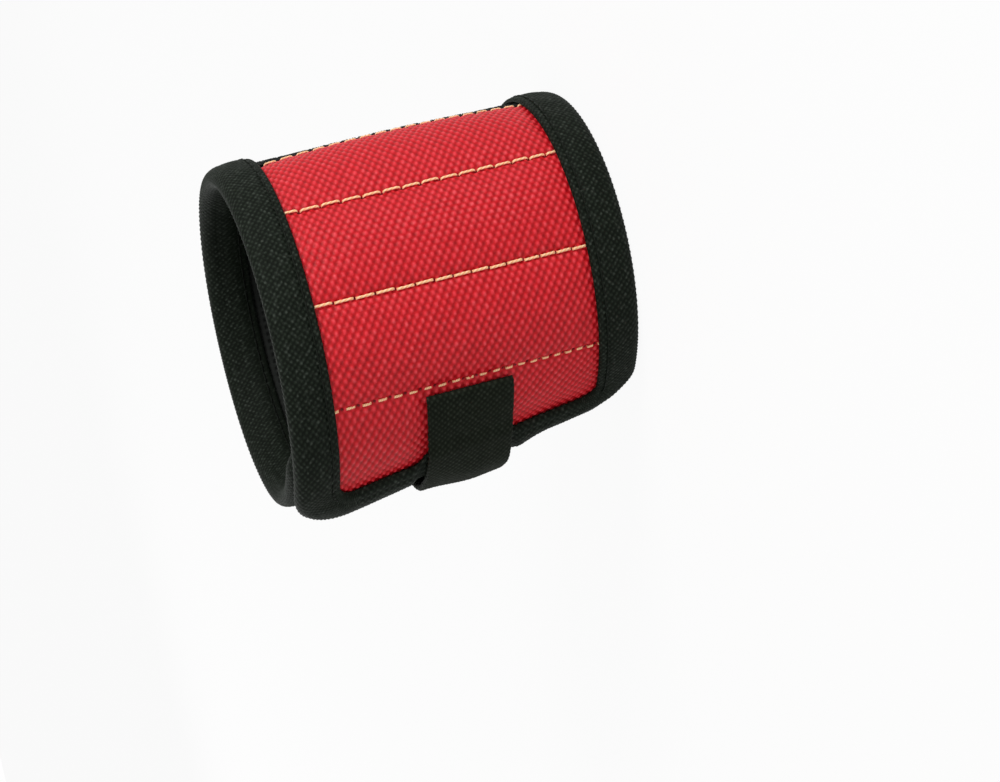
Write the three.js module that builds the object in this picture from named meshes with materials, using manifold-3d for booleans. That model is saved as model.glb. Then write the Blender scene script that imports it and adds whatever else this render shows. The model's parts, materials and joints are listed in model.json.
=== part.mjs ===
// A magnetic wristband, fastened in a ring and standing on its hand-side edge.
// Millimetres. +Z runs along the ring from the hand to the forearm, -Y is the front with the
// magnet pockets, +X is the top of the ring and -X the side where the strap leaves the band.

import * as THREE from "three";
import { mergeVertices } from "three/addons/utils/BufferGeometryUtils.js";
import Module from "manifold-3d";

const wasm = await Module();
wasm.setup();

// The ring: the band's width, the outer skin's radius at each of its edges, and how much higher
// the top of the ring is at the hand
const bandWidth = 80;
const handRadius = 34.8;
const armRadius = 39.8;
const topRise = 2;

// Lengths along the band, from the first sewn line at the top of the ring. The end row is askew:
// longer than its middle by the lean at the forearm, and shorter by as much at the hand.
const firstLine = THREE.MathUtils.degToRad(74.5);
const pocketPitch = 22.6;
const endRowLength = 30;
const endLean = 10;
const tailOverlap = 24;
const cornerRadius = 14;
const foldGap = 0.4;

// The loop panel moves in to lie under the end row: how far from the first line it starts to,
// and how far before the end row's edge it has done so
const diveStart = 12;
const diveLead = 12;

// Cloth layers, and how far padding lifts them
const coverThickness = 1.0;
const liningThickness = 0.8;
const seamFill = 0.9;
const crownOut = 1.3;
const crownIn = 1.5;
const endRowCrown = 0.4;
const waddingInset = 2.5;
const layerGap = 0.3;

// How flat the padding is along a row, and how square its shoulders are
const padFlatness = 6;
const padShoulder = 0.8;

// Edge binding
const bindingThickness = 1.2;
const bindingReach = 10;
const rimRound = 2;

// Strap and hook tape. The strap sits a little off the middle of the band, towards the forearm.
const strapWidth = 20;
const strapShift = 0.4;
const strapThickness = 1.6;
const strapMargin = 1.2;
const strapFree = 50;
const strapDrop = 20;
const strapCorner = 5;
const hookThickness = 1.2;
const hookInset = 1;
const hookTab = 8;

// Magnets and thread
const magnetDiameter = 10;
const magnetThickness = 2;
const magnetPitch = 18;
const magnetsPerPocket = 3;
const threadDiameter = 0.6;
const threadWave = 0.25;
const stitchLength = 4.6;

// Worked out from those
const pocketNames = ["upper", "middle", "lower"];
const lastLine = pocketNames.length * pocketPitch;
const frontEnd = lastLine + endRowLength;
const seamThickness = coverThickness + seamFill + liningThickness;
const loopFaceThickness = seamThickness - liningThickness - layerGap;
const bindingTop = layerGap + bindingThickness;
const bindingBottom = -seamThickness - bindingTop;
const coreInset = bindingThickness + layerGap;
const loopDive = bindingTop - bindingBottom + layerGap;
const middleHeight = bandWidth / 2;
const strapLean = (endLean * (Math.abs(strapShift) + strapWidth / 2)) / middleHeight;
const strapHinge = frontEnd + strapLean + foldGap;
const strapFold = strapHinge + strapFree / 2;
const strapEnd = strapHinge + strapFree;

// Grid counts
const cornerCells = 5;
const rimCells = 3;
const heightCells = 6;
const pocketCells = 4;
const loopCells = 9;
const tailCells = 7;
const strapCells = 6;
const threadSides = 5;
const stitchCells = 3;
const magnetSides = 18;
const weldDistance = 1e-4;

const finishes = {
  cover: new THREE.MeshStandardMaterial({ color: 0xc41f36, roughness: 0.7 }),
  binding: new THREE.MeshStandardMaterial({ color: 0x17171a, roughness: 0.8 }),
  lining: new THREE.MeshStandardMaterial({ color: 0x1c1c1f, roughness: 0.9 }),
  pile: new THREE.MeshStandardMaterial({ color: 0x19191b, roughness: 0.95 }),
  strap: new THREE.MeshStandardMaterial({ color: 0x151517, roughness: 0.8 }),
  hook: new THREE.MeshStandardMaterial({ color: 0x202023, roughness: 0.6 }),
  wadding: new THREE.MeshStandardMaterial({ color: 0xd9d8d2, roughness: 0.95 }),
  thread: new THREE.MeshStandardMaterial({ color: 0xf2b660, roughness: 0.6 }),
  magnet: new THREE.MeshStandardMaterial({ color: 0xb9bcc0, roughness: 0.35, metalness: 1 }),
};

// The outer skin's circle at each edge of the band
const handRing = { radius: handRadius, centre: armRadius + topRise - handRadius, height: 0 };
const armRing = { radius: armRadius, centre: 0, height: bandWidth };

function onRing(ring, angle, lift) {
  const reach = ring.radius + lift;
  return new THREE.Vector3(
    ring.centre + reach * Math.sin(angle),
    -reach * Math.cos(angle),
    ring.height,
  );
}

// A point on the straight line across the band between the two rings
function across(z, angleOn, liftOn) {
  const hand = onRing(handRing, angleOn(handRing), liftOn(handRing));
  const arm = onRing(armRing, angleOn(armRing), liftOn(armRing));
  return hand.lerp(arm, z / bandWidth);
}

// The sheets of cloth. Each gives the place of a point from its length along the sheet,
// its height on the ring and its lift above the sheet's own face.
function frontAngle(ring, s) {
  return firstLine - s / ring.radius;
}

function front(s, z, lift) {
  return across(z, (ring) => frontAngle(ring, s), () => lift);
}

// The front again, with lines that lean more the nearer they are to the end of its end row
function leaningFront(s, z, lift) {
  const share = (s - lastLine) / endRowLength;
  const side = (z - middleHeight) / middleHeight;
  return front(s + endLean * share * side, z, lift);
}

function loopSpan(ring) {
  return 2 * Math.PI - (frontEnd - tailOverlap) / ring.radius;
}

const loopLength = (loopSpan(handRing) * handRadius + loopSpan(armRing) * armRadius) / 2;

const diveEnd = loopLength - tailOverlap - endLean - diveLead;

function dive(s) {
  return loopDive * THREE.MathUtils.smoothstep(s, diveStart, diveEnd);
}

function loop(s, z, lift) {
  const share = s / loopLength;
  return across(z, (ring) => firstLine + share * loopSpan(ring), () => lift - dive(s));
}

// The length of the loop panel that lies under a length of the front, halfway up the ring
function lengthUnder(s) {
  const share = (ring) => (2 * Math.PI - s / ring.radius) / loopSpan(ring);
  return (loopLength * (share(handRing) + share(armRing))) / 2;
}

// The strap's underside lies on the cover, climbs over the end binding and drops to the loop pile.
function strap(s, z, lift) {
  const onCover = endRowCrown + layerGap;
  const onBinding = bindingTop + layerGap;
  const onPile = hookThickness + 2 * layerGap;
  const climbEnd = frontEnd - strapLean - bindingReach - layerGap;
  const climb = THREE.MathUtils.smoothstep(s, climbEnd - bindingReach / 2, climbEnd);
  const drop = THREE.MathUtils.smoothstep(s, strapHinge, strapHinge + strapDrop);
  const sewn = front(s, z, THREE.MathUtils.lerp(onCover, onBinding, climb) + lift);
  return sewn.lerp(loop(lengthUnder(s), z, onPile + lift), drop);
}

// A closed geometry with its faces turned out
function closed(points, triangles) {
  let volume = 0;
  for (const [a, b, c] of triangles) {
    volume += points[a].dot(points[b].clone().cross(points[c]));
  }
  if (volume < 0) {
    triangles.forEach((triangle) => triangle.reverse());
  }
  const geometry = new THREE.BufferGeometry().setFromPoints(points);
  geometry.setIndex(triangles.flat());
  geometry.computeVertexNormals();
  return geometry;
}

// A solid through rings of points, all with as many points, with both end rings capped
function loft(rings, caps) {
  const size = rings[0].length;
  const points = rings.flat();
  const triangles = [];
  for (let i = 0; i + 1 < rings.length; i += 1) {
    for (let j = 0; j < size; j += 1) {
      const a = i * size + j;
      const b = i * size + ((j + 1) % size);
      triangles.push([a, b, b + size], [a, b + size, a + size]);
    }
  }
  const last = (rings.length - 1) * size;
  for (const [a, b, c] of caps) {
    triangles.push([c, b, a], [last + a, last + b, last + c]);
  }
  return closed(points, triangles);
}

function capsOf(section) {
  const outline = section.map(([x, y]) => new THREE.Vector2(x, y));
  if (THREE.ShapeUtils.isClockWise(outline)) {
    return THREE.ShapeUtils.triangulateShape([...outline].reverse(), []).map(
      (triangle) => triangle.map((i) => outline.length - 1 - i),
    );
  }
  return THREE.ShapeUtils.triangulateShape(outline, []);
}

// A solid between two faces of a sheet. Columns hold [length, height] pairs, and top and bottom
// give the lift of each face at a pair.
function slab(sheet, columns, top, bottom) {
  const sections = columns.map((column) => {
    const upper = column.map(([s, z]) => sheet(s, z, top(s, z)));
    const lower = column.map(([s, z]) => sheet(s, z, bottom(s, z)));
    return [...upper, ...lower.reverse()];
  });
  const rows = columns[0].length;
  const caps = [];
  for (let j = 0; j + 1 < rows; j += 1) {
    const under = 2 * rows - 1 - j;
    caps.push([j, j + 1, under - 1], [j, under - 1, under]);
  }
  return loft(sections, caps);
}

// A closed section carried round the edge of a sheet. Section points are [inset, lift].
function edging(sheet, path, section) {
  const rings = path.map(({ s, z, inS, inZ }) =>
    section.map(([inset, lift]) => sheet(s + inset * inS, z + inset * inZ, lift)),
  );
  return loft(rings, capsOf(section));
}

function steps(from, to, count) {
  return Array.from({ length: count + 1 }, (_, i) => from + ((to - from) * i) / count);
}

// Heights of the wadding, and of the bound cloth round it, whose edge lies inside the binding
const padHeights = steps(bindingReach + waddingInset, bandWidth - bindingReach - waddingInset, heightCells);
const clothHeights = [
  coreInset,
  bindingReach,
  ...padHeights,
  bandWidth - bindingReach,
  bandWidth - coreInset,
];

function straightColumns(lengths, heights) {
  return lengths.map((s) => heights.map((z) => [s, z]));
}

// Columns that run on past the last length in an end with rounded corners
function roundedColumns(lengths, heights, radius) {
  const low = heights[0];
  const high = heights[heights.length - 1];
  const cornerStart = lengths[lengths.length - 1];
  const straight = straightColumns(lengths, heights);
  const turned = steps(0, Math.PI / 2, cornerCells).slice(1).map((turn) => {
    const s = cornerStart + radius * Math.sin(turn);
    const inset = radius * (1 - Math.cos(turn));
    return heights.map((z) => {
      const share = (z - low) / (high - low);
      return [s, THREE.MathUtils.lerp(low + inset, high - inset, share)];
    });
  });
  return [...straight, ...turned];
}

// Straight edge paths along one side, and an edge path round the end of a sheet
const handEdge = { z: 0, inS: 0, inZ: 1 };
const armEdge = { z: bandWidth, inS: 0, inZ: -1 };

function sidePath(edge, lengths) {
  return lengths.map((s) => ({ s, ...edge }));
}

// Along the hand side, round both corners past the last length, and back along the arm side
function endPath(lengths) {
  const turns = steps(0, Math.PI / 2, cornerCells);
  const cornerStart = lengths[lengths.length - 1];
  const corner = (turn, centreZ) => ({
    s: cornerStart + cornerRadius * Math.sin(turn),
    z: centreZ - cornerRadius * Math.cos(turn),
    inS: -Math.sin(turn),
    inZ: Math.cos(turn),
  });
  return [
    ...sidePath(handEdge, lengths).slice(0, -1),
    ...turns.map((turn) => corner(turn, cornerRadius)),
    ...steps(cornerRadius, bandWidth - cornerRadius, heightCells)
      .slice(1, -1)
      .map((z) => ({ ...corner(Math.PI / 2, cornerRadius), z })),
    ...turns.map((turn) => corner(turn + Math.PI / 2, bandWidth - cornerRadius)),
    ...sidePath(armEdge, lengths).slice(0, -1).reverse(),
  ];
}

// The binding tape's section: folded over the rim, with a flat along the fold
function roundedCorner(inset, lift, from) {
  return steps(from, from + Math.PI / 2, rimCells).map((turn) => [
    inset + rimRound * Math.cos(turn),
    lift + rimRound * Math.sin(turn),
  ]);
}

const legs = [bindingReach, (bindingReach + rimRound) / 2];
const bindingSection = [
  ...legs.map((inset) => [inset, bindingTop]),
  ...roundedCorner(rimRound, bindingTop - rimRound, Math.PI / 2),
  ...roundedCorner(rimRound, bindingBottom + rimRound, Math.PI),
  ...legs.map((inset) => [inset, bindingBottom]).reverse(),
  ...legs.map((inset) => [inset, bindingBottom + bindingThickness]),
  [bindingThickness, bindingBottom + bindingThickness],
  [bindingThickness, bindingTop - bindingThickness],
  ...legs.map((inset) => [inset, bindingTop - bindingThickness]).reverse(),
];

// How full the padding is at a point of a row: nothing along its sewn sides, 1 in the middle
function fullness(s, z, from, to) {
  const along = THREE.MathUtils.clamp((2 * (s - from)) / (to - from) - 1, -1, 1);
  const side = (z - middleHeight) / (middleHeight - bindingReach);
  const up = THREE.MathUtils.clamp(side, -1, 1);
  return ((1 - along ** 2) * (1 - up ** padFlatness)) ** padShoulder;
}

function asManifold(geometry) {
  const bare = geometry.clone();
  bare.deleteAttribute("normal");
  bare.deleteAttribute("uv");
  const merged = mergeVertices(bare, weldDistance);
  const vertProperties = new Float32Array(merged.attributes.position.array);
  const triVerts = new Uint32Array(merged.index.array);
  return new wasm.Manifold(new wasm.Mesh({ numProp: 3, vertProperties, triVerts }));
}

function cut(geometry, tools) {
  const whole = tools.reduce((left, tool) => left.subtract(asManifold(tool)), asManifold(geometry));
  const mesh = whole.getMesh();
  const result = new THREE.BufferGeometry();
  result.setAttribute("position", new THREE.BufferAttribute(mesh.vertProperties, 3));
  result.setIndex(new THREE.BufferAttribute(mesh.triVerts, 1));
  result.computeVertexNormals();
  return result;
}

function piece(name, geometry, finish) {
  const mesh = new THREE.Mesh(geometry, finishes[finish]);
  mesh.name = name;
  return mesh;
}

// A turned place on the front sheet, with its own Y axis square to the cloth
function seatOn(s, z, lift) {
  const reach = magnetDiameter / 2;
  const along = front(s + reach, z, lift).sub(front(s - reach, z, lift)).normalize();
  const up = front(s, z + reach, lift).sub(front(s, z - reach, lift)).normalize();
  const out = new THREE.Vector3().crossVectors(up, along).normalize();
  const basis = new THREE.Matrix4().makeBasis(along, out, new THREE.Vector3().crossVectors(along, out));
  return basis.setPosition(front(s, z, lift));
}

// One row of the red half: cover, wadding and lining, full between two sewn lines
function paddedRow(name, sheet, from, to, coverColumns, padLengths, rise) {
  const fill = (s, z) => fullness(s, z, from, to);
  const coverTop = (s, z) => rise.out * fill(s, z);
  const coverBottom = (s, z) => coverTop(s, z) - coverThickness;
  const liningBottom = (s, z) => -seamThickness - rise.in * fill(s, z);
  const liningTop = (s, z) => liningBottom(s, z) + liningThickness;
  const wadding = slab(
    sheet,
    straightColumns(padLengths, padHeights),
    (s, z) => coverBottom(s, z) - layerGap,
    (s, z) => liningTop(s, z) + layerGap,
  );
  const row = new THREE.Group();
  row.add(piece(`${name}_cover`, slab(sheet, coverColumns, coverTop, coverBottom), "cover"));
  row.add(piece(`${name}_wadding`, wadding, "wadding"));
  row.add(piece(`${name}_lining`, slab(sheet, coverColumns, liningTop, liningBottom), "lining"));
  return row;
}

// A magnet pocket, with its discs let into the wadding and binding along both edges
function magnetPocket(name, from) {
  const to = from + pocketPitch;
  const start = from + foldGap / 2;
  const end = to - foldGap / 2;
  const padLengths = steps(from + waddingInset, to - waddingInset, pocketCells);
  const columns = straightColumns([start, ...padLengths, end], clothHeights);
  const row = paddedRow(name, front, from, to, columns, padLengths, { out: crownOut, in: crownIn });
  const disc = new THREE.CylinderGeometry(
    magnetDiameter / 2,
    magnetDiameter / 2,
    magnetThickness,
    magnetSides,
  );
  const bore = new THREE.CylinderGeometry(
    magnetDiameter / 2 + layerGap,
    magnetDiameter / 2 + layerGap,
    seamThickness + 2 * (crownOut + crownIn),
    magnetSides,
  );
  const spaceTop = crownOut - coverThickness;
  const spaceBottom = -seamThickness - crownIn + liningThickness;
  const holes = [];
  for (let i = 0; i < magnetsPerPocket; i += 1) {
    const z = middleHeight + (i - (magnetsPerPocket - 1) / 2) * magnetPitch;
    const seat = seatOn((from + to) / 2, z, (spaceTop + spaceBottom) / 2);
    const magnet = piece(`${name}_magnet_${i + 1}`, disc, "magnet");
    magnet.applyMatrix4(seat);
    row.add(magnet);
    holes.push(bore.clone().applyMatrix4(seat));
  }
  const wadding = row.getObjectByName(`${name}_wadding`);
  wadding.geometry = cut(wadding.geometry, holes);
  for (const [side, edge] of [["hand", handEdge], ["arm", armEdge]]) {
    const path = sidePath(edge, [start, ...padLengths, end]);
    const binding = edging(front, path, bindingSection);
    row.add(piece(`${name}_binding_${side}`, binding, "binding"));
  }
  return row;
}

// The end row, bound round its rounded end, with the sewn-down part of the strap on it
function endRow() {
  const padLengths = steps(lastLine + waddingInset, frontEnd - cornerRadius, pocketCells);
  const lengths = [lastLine + foldGap / 2, ...padLengths];
  const columns = roundedColumns(lengths, clothHeights, cornerRadius - coreInset);
  const rise = { out: endRowCrown, in: endRowCrown };
  const padEnd = frontEnd - bindingReach;
  const row = paddedRow("end_row", leaningFront, lastLine, padEnd, columns, padLengths, rise);
  const binding = edging(leaningFront, endPath(lengths), bindingSection);
  row.add(piece("end_row_binding", binding, "binding"));
  const baseLengths = steps(lastLine + strapMargin, strapHinge - foldGap / 2, 2 * strapCells);
  row.add(piece("strap_base", strapSlab(straightColumns(baseLengths, strapHeights())), "strap"));
  return row;
}

function strapHeights(inset = 0) {
  const half = strapWidth / 2 - inset;
  const middle = middleHeight + strapShift;
  return steps(middle - half, middle + half, 2);
}

function strapSlab(columns) {
  return slab(strap, columns, () => strapThickness, () => 0);
}

function hookSlab(from, to) {
  const columns = straightColumns(steps(from, to, strapCells), strapHeights(hookInset));
  return slab(strap, columns, () => -layerGap, () => -layerGap - hookThickness);
}

// The free strap in two lengths that bend at a fold, each with its hook tape
function freeStrap() {
  const group = new THREE.Group();
  const rootLengths = steps(strapHinge + foldGap / 2, strapFold - foldGap / 2, strapCells);
  const rootColumns = straightColumns(rootLengths, strapHeights());
  const tipLengths = steps(strapFold + foldGap / 2, strapEnd - strapCorner, strapCells);
  const tipColumns = roundedColumns(tipLengths, strapHeights(), strapCorner);
  group.add(piece("strap_root", strapSlab(rootColumns), "strap"));
  group.add(piece("strap_tip", strapSlab(tipColumns), "strap"));
  const hookRoot = hookSlab(strapHinge + strapDrop / 2, strapFold - foldGap / 2);
  group.add(piece("strap_root_hook_tape", hookRoot, "hook"));
  const hookTip = hookSlab(strapFold + foldGap / 2, strapEnd - hookTab);
  group.add(piece("strap_tip_hook_tape", hookTip, "hook"));
  return group;
}

// The loop panel round the back, in lengths that bend at folds. The tail has a bound round end.
function loopPart(name, columns, paths) {
  const part = new THREE.Group();
  const face = slab(loop, columns, () => 0, () => -loopFaceThickness);
  part.add(piece(`${name}_pile`, face, "pile"));
  const backing = slab(loop, columns, () => -seamThickness + liningThickness, () => -seamThickness);
  part.add(piece(`${name}_backing`, backing, "lining"));
  for (const [suffix, path] of Object.entries(paths)) {
    part.add(piece(`${name}_${suffix}`, edging(loop, path, bindingSection), "binding"));
  }
  return part;
}

function loopPanel() {
  const panel = new THREE.Group();
  const heights = steps(coreInset, bandWidth - coreInset, heightCells);
  const share = loopLength / 3;
  ["loop_upper", "loop_middle"].forEach((name, i) => {
    const lengths = steps(i * share + foldGap / 2, (i + 1) * share - foldGap / 2, loopCells);
    const paths = {
      binding_hand: sidePath(handEdge, lengths),
      binding_arm: sidePath(armEdge, lengths),
    };
    panel.add(loopPart(name, straightColumns(lengths, heights), paths));
  });
  const tailLengths = steps(2 * share + foldGap / 2, loopLength - cornerRadius, tailCells);
  const tailColumns = roundedColumns(tailLengths, heights, cornerRadius - coreInset);
  panel.add(loopPart("loop_tail", tailColumns, { binding: endPath(tailLengths) }));
  return panel;
}

// A row of topstitching: one thread that dips at every needle hole
function stitchRow(name, s) {
  const radius = threadDiameter / 2;
  const from = bindingReach + layerGap;
  const to = bandWidth - bindingReach - layerGap;
  const stitches = Math.round((to - from) / stitchLength);
  const turns = steps(0, 2 * Math.PI, threadSides).slice(0, -1);
  const section = turns.map((turn) => [radius * Math.cos(turn), radius * Math.sin(turn)]);
  const rings = steps(from, to, stitches * stitchCells).map((z, i) => {
    const rise = Math.sin((Math.PI * (i % stitchCells)) / stitchCells);
    const seat = layerGap + radius + threadWave * rise;
    return section.map(([x, y]) => front(s + x, z, seat + y));
  });
  return piece(name, loft(rings, capsOf(section)), "thread");
}

const band = new THREE.Group();
pocketNames.forEach((name, i) => band.add(magnetPocket(`${name}_pocket`, i * pocketPitch)));
band.add(endRow());
band.add(freeStrap());
band.add(loopPanel());
steps(0, lastLine, pocketNames.length).forEach((s, i) => band.add(stitchRow(`stitch_row_${i + 1}`, s)));

// The origin is under the middle of the ring's box.
const box = new THREE.Box3().setFromObject(band, true);
const middle = box.getCenter(new THREE.Vector3());
band.position.set(-middle.x, -middle.y, -box.min.z);

export default band;
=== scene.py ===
"""A magnetic tool wristband, fastened in a ring and standing on its hand-side rim.

Shapes are worked out in millimetres on sheets of cloth. A point of a sheet is named by its length
along the band, its height across the band and its lift off the cloth, and the sheet gives its
place. Lengths on the long strip start at the first sewn line: the red rows lie above nought, and
the loop panel, which runs on round the back, lies below it.
"""

import json
import logging
import math
from collections.abc import Callable, Mapping, Sequence
from dataclasses import dataclass, field
from enum import Enum
from typing import Any

import bpy
import numpy as np
from mathutils import Matrix, Vector

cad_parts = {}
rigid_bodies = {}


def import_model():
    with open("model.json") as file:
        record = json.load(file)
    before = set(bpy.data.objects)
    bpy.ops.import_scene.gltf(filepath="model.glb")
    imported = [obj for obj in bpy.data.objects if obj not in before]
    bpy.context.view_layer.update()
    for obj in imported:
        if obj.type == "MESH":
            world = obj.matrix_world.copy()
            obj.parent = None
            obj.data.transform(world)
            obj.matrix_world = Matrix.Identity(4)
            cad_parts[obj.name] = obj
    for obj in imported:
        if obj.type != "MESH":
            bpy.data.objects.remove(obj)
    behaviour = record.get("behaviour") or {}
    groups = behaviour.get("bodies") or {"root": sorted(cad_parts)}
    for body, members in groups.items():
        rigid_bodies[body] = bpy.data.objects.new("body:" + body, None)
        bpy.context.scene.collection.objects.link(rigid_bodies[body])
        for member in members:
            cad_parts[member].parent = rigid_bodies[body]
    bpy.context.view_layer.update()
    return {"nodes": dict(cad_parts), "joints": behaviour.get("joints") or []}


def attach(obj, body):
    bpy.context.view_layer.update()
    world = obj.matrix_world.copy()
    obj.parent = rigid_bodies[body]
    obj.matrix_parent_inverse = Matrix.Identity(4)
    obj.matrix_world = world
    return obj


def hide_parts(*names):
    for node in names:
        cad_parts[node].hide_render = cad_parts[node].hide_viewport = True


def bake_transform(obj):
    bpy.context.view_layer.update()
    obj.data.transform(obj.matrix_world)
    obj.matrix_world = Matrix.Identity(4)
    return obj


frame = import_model()

Array = np.ndarray
Colour = tuple[float, float, float]
Material = bpy.types.Material
Sheet = Callable[[Array, Array, Array], Array]

LOG = logging.getLogger("wristband")
MM = 0.001
CLOTH = "cloth"
YARN = "yarn"
OVER = "over"
HOLE = "hole"
WHITE = (1.0, 1.0, 1.0)
SHARP_ANGLE = math.radians(70.0)
# Each wave of the ripple: its turns along, its turns across and where it starts.
RIPPLES = ((0.83, 0.31, 1.3), (-0.47, 1.31, 4.1), (1.93, 1.17, 2.6), (2.41, -1.73, 0.4))


def smoothstep(value: Array, start: float, end: float) -> Array:
    """Ease from 0 at start to 1 at end: three times the share squared, less twice its cube."""
    share = np.clip((value - start) / (end - start), 0.0, 1.0)
    return share * share * (3.0 - 2.0 * share)


def ripple(a: Array, b: Array, length: float) -> Array:
    """Slow unevenness of cloth, from -1 to 1.

    The mean of four sine waves whose directions and lengths have no common measure.

    Args:
        a: Lengths along the cloth, in millimetres.
        b: Lengths across it.
        length: The longest wave's length.

    Returns:
        One value for each pair of lengths.
    """
    turn = 2.0 * np.pi / length
    waves = sum(np.sin(turn * (along * a + across * b) + start) for along, across, start in RIPPLES)
    return waves / len(RIPPLES)


def counted(start: float, end: float, step: float) -> Array:
    """Evenly spaced values from start to end, about a step apart."""
    return np.linspace(start, end, max(2, round(abs(end - start) / step) + 1))


def distance_along(a: Array, b: Array) -> Array:
    """Distances along a line of points in a plane, from nought at the first."""
    return np.concatenate([[0.0], np.cumsum(np.hypot(np.diff(a), np.diff(b)))])


class Fold(Enum):
    """A line where the cloth bends, by the bodies before and after it along the band."""

    TAIL = ("loop_tail", "loop_middle")
    BACK = ("loop_middle", "loop_upper")
    FIRST_LINE = ("loop_upper", "upper_pocket")
    SECOND_LINE = ("upper_pocket", "middle_pocket")
    THIRD_LINE = ("middle_pocket", "lower_pocket")
    FOURTH_LINE = ("lower_pocket", "end_row")
    STRAP_ROOT = ("end_row", "strap")
    STRAP_TIP = ("strap", "strap_tip")

    @property
    def label(self) -> str:
        """The fold's name as it stands in a piece's name."""
        return self.name.lower()


STRIP_FOLDS = tuple(Fold)[:6]
ROW_FOLDS = STRIP_FOLDS[2:]
LOOP_FOLDS = STRIP_FOLDS[:3]


class Edge(Enum):
    """A long edge of the band: the share of the width where it lies, and which way is inward."""

    HAND = (0.0, 1.0)
    ARM = (1.0, -1.0)

    @property
    def label(self) -> str:
        """The edge's name as it stands in a piece's name."""
        return self.name.lower()


@dataclass(frozen=True)
class BandForm:
    """The ring and the sheets of cloth that lie round it, in millimetres and radians."""

    width: float = 80.0
    hand_radius: float = 34.8
    arm_radius: float = 39.8
    top_rise: float = 2.0
    first_line: float = math.radians(74.5)
    pitch: float = 22.6
    rows: int = 3
    end_row: float = 30.0
    end_lean: float = 10.0
    tail_overlap: float = 24.0
    corner: float = 14.0
    reach: float = 10.0
    core_inset: float = 1.5
    loop_dive: float = 6.0
    dive_start: float = 12.0
    dive_lead: float = 12.0
    crown_out: float = 1.3
    crown_in: float = 1.5
    end_crown: float = 0.4
    pad_flatness: float = 6.0
    pad_shoulder: float = 0.8
    belly_rise: float = 1.1
    belly_length: float = 11.0
    belly_fall: float = 4.5
    hump_rise: float = 1.7
    hump_lead: float = 14.0
    hump_flat: float = 3.0
    hump_near: float = 14.0
    hump_past: float = 10.0
    seam: float = 2.7
    strap_shift: float = 0.4
    strap_width: float = 20.0
    strap_free: float = 50.0
    strap_drop: float = 20.0
    fold_gap: float = 0.4
    layer_gap: float = 0.3
    strap_on_cover: float = 0.7
    strap_on_binding: float = 1.8
    strap_on_pile: float = 1.8
    box_middle: tuple[float, float] = (2.49862, -1.60373)

    @property
    def rings(self) -> tuple[float, float]:
        """The radii of the hand-side ring and the arm-side ring."""
        return self.hand_radius, self.arm_radius

    @property
    def middle(self) -> float:
        """Half the band's width."""
        return self.width / 2.0

    @property
    def last_line(self) -> float:
        """The length at the last sewn line."""
        return self.rows * self.pitch

    @property
    def front_end(self) -> float:
        """The length at the end of the red rows, halfway across the band."""
        return self.last_line + self.end_row

    @property
    def strap_middle(self) -> float:
        """The height of the strap's middle line."""
        return self.middle + self.strap_shift

    @property
    def strap_lean(self) -> float:
        """How far the end of the end row leans at the strap's further edge."""
        return self.end_lean * (self.strap_shift + self.strap_width / 2.0) / self.middle

    @property
    def strap_hinge(self) -> float:
        """The length where the strap comes free of the end row."""
        return self.front_end + self.strap_lean + self.fold_gap

    @property
    def strap_end(self) -> float:
        """The length at the strap's tip."""
        return self.strap_hinge + self.strap_free

    def loop_span(self, radius: float) -> float:
        """The angle that the loop panel takes on a ring of this radius."""
        return 2.0 * math.pi - (self.front_end - self.tail_overlap) / radius

    @property
    def loop_length(self) -> float:
        """The loop panel's length, the mean of its lengths along both edges."""
        return sum(self.loop_span(radius) * radius for radius in self.rings) / 2.0

    @property
    def third(self) -> float:
        """A third of the loop panel's length."""
        return self.loop_length / 3.0

    def across(self, z: Array, hand_angle: Array, arm_angle: Array, lift: Array) -> Array:
        """Points on straight lines across the band, from its hand-side ring to its arm-side ring.

        Each ring gives its centre plus its radius and the lift, turned by its own angle, and the
        height shares the two points out.

        Args:
            z: Heights above the hand-side rim.
            hand_angle: Angles on the hand-side ring, from the front.
            arm_angle: Angles on the arm-side ring.
            lift: Lifts outward.

        Returns:
            Points, with their three coordinates last.
        """
        share = z / self.width
        hand, arm = self.hand_radius + lift, self.arm_radius + lift
        hand_centre = self.arm_radius + self.top_rise - self.hand_radius
        x = (1.0 - share) * (hand_centre + hand * np.sin(hand_angle)) + share * arm * np.sin(arm_angle)
        y = -(1.0 - share) * hand * np.cos(hand_angle) - share * arm * np.cos(arm_angle)
        return np.stack(np.broadcast_arrays(x - self.box_middle[0], y - self.box_middle[1], z), axis=-1)

    def front(self, s: Array, z: Array, lift: Array, lean: bool = True) -> Array:
        """Points on the sheet of the red rows; past the last line it leans across the band.

        The angle is the first line's less length over radius. With lean, a length in the end row
        grows towards the arm and shrinks towards the hand, more so the nearer it is to the end.
        The end's hump is added to the lift.

        Args:
            s: Lengths from the first sewn line.
            z: Heights.
            lift: Lifts off the cloth.
            lean: Whether the end row is askew.

        Returns:
            Points, with their three coordinates last.
        """
        if lean:
            share = np.clip((s - self.last_line) / self.end_row, 0.0, None)
            s = s + self.end_lean * share * (z - self.middle) / self.middle
        hand, arm = (self.first_line - s / radius for radius in self.rings)
        return self.across(z, hand, arm, lift + self.hump(s, z))

    def loop(self, s: Array, z: Array, lift: Array) -> Array:
        """Points on the loop panel, which moves inward to lie under the end row.

        The share of the panel's length gives the angle on each ring, and the dive eases the lift down.

        Args:
            s: Lengths along the panel, from the first sewn line.
            z: Heights.
            lift: Lifts off the cloth.

        Returns:
            Points, with their three coordinates last.
        """
        dive_end = self.loop_length - self.tail_overlap - self.end_lean - self.dive_lead
        sunk = lift - self.loop_dive * smoothstep(s, self.dive_start, dive_end)
        share = s / self.loop_length
        hand, arm = (self.first_line + share * self.loop_span(radius) for radius in self.rings)
        return self.across(z, hand, arm, sunk)

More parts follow.
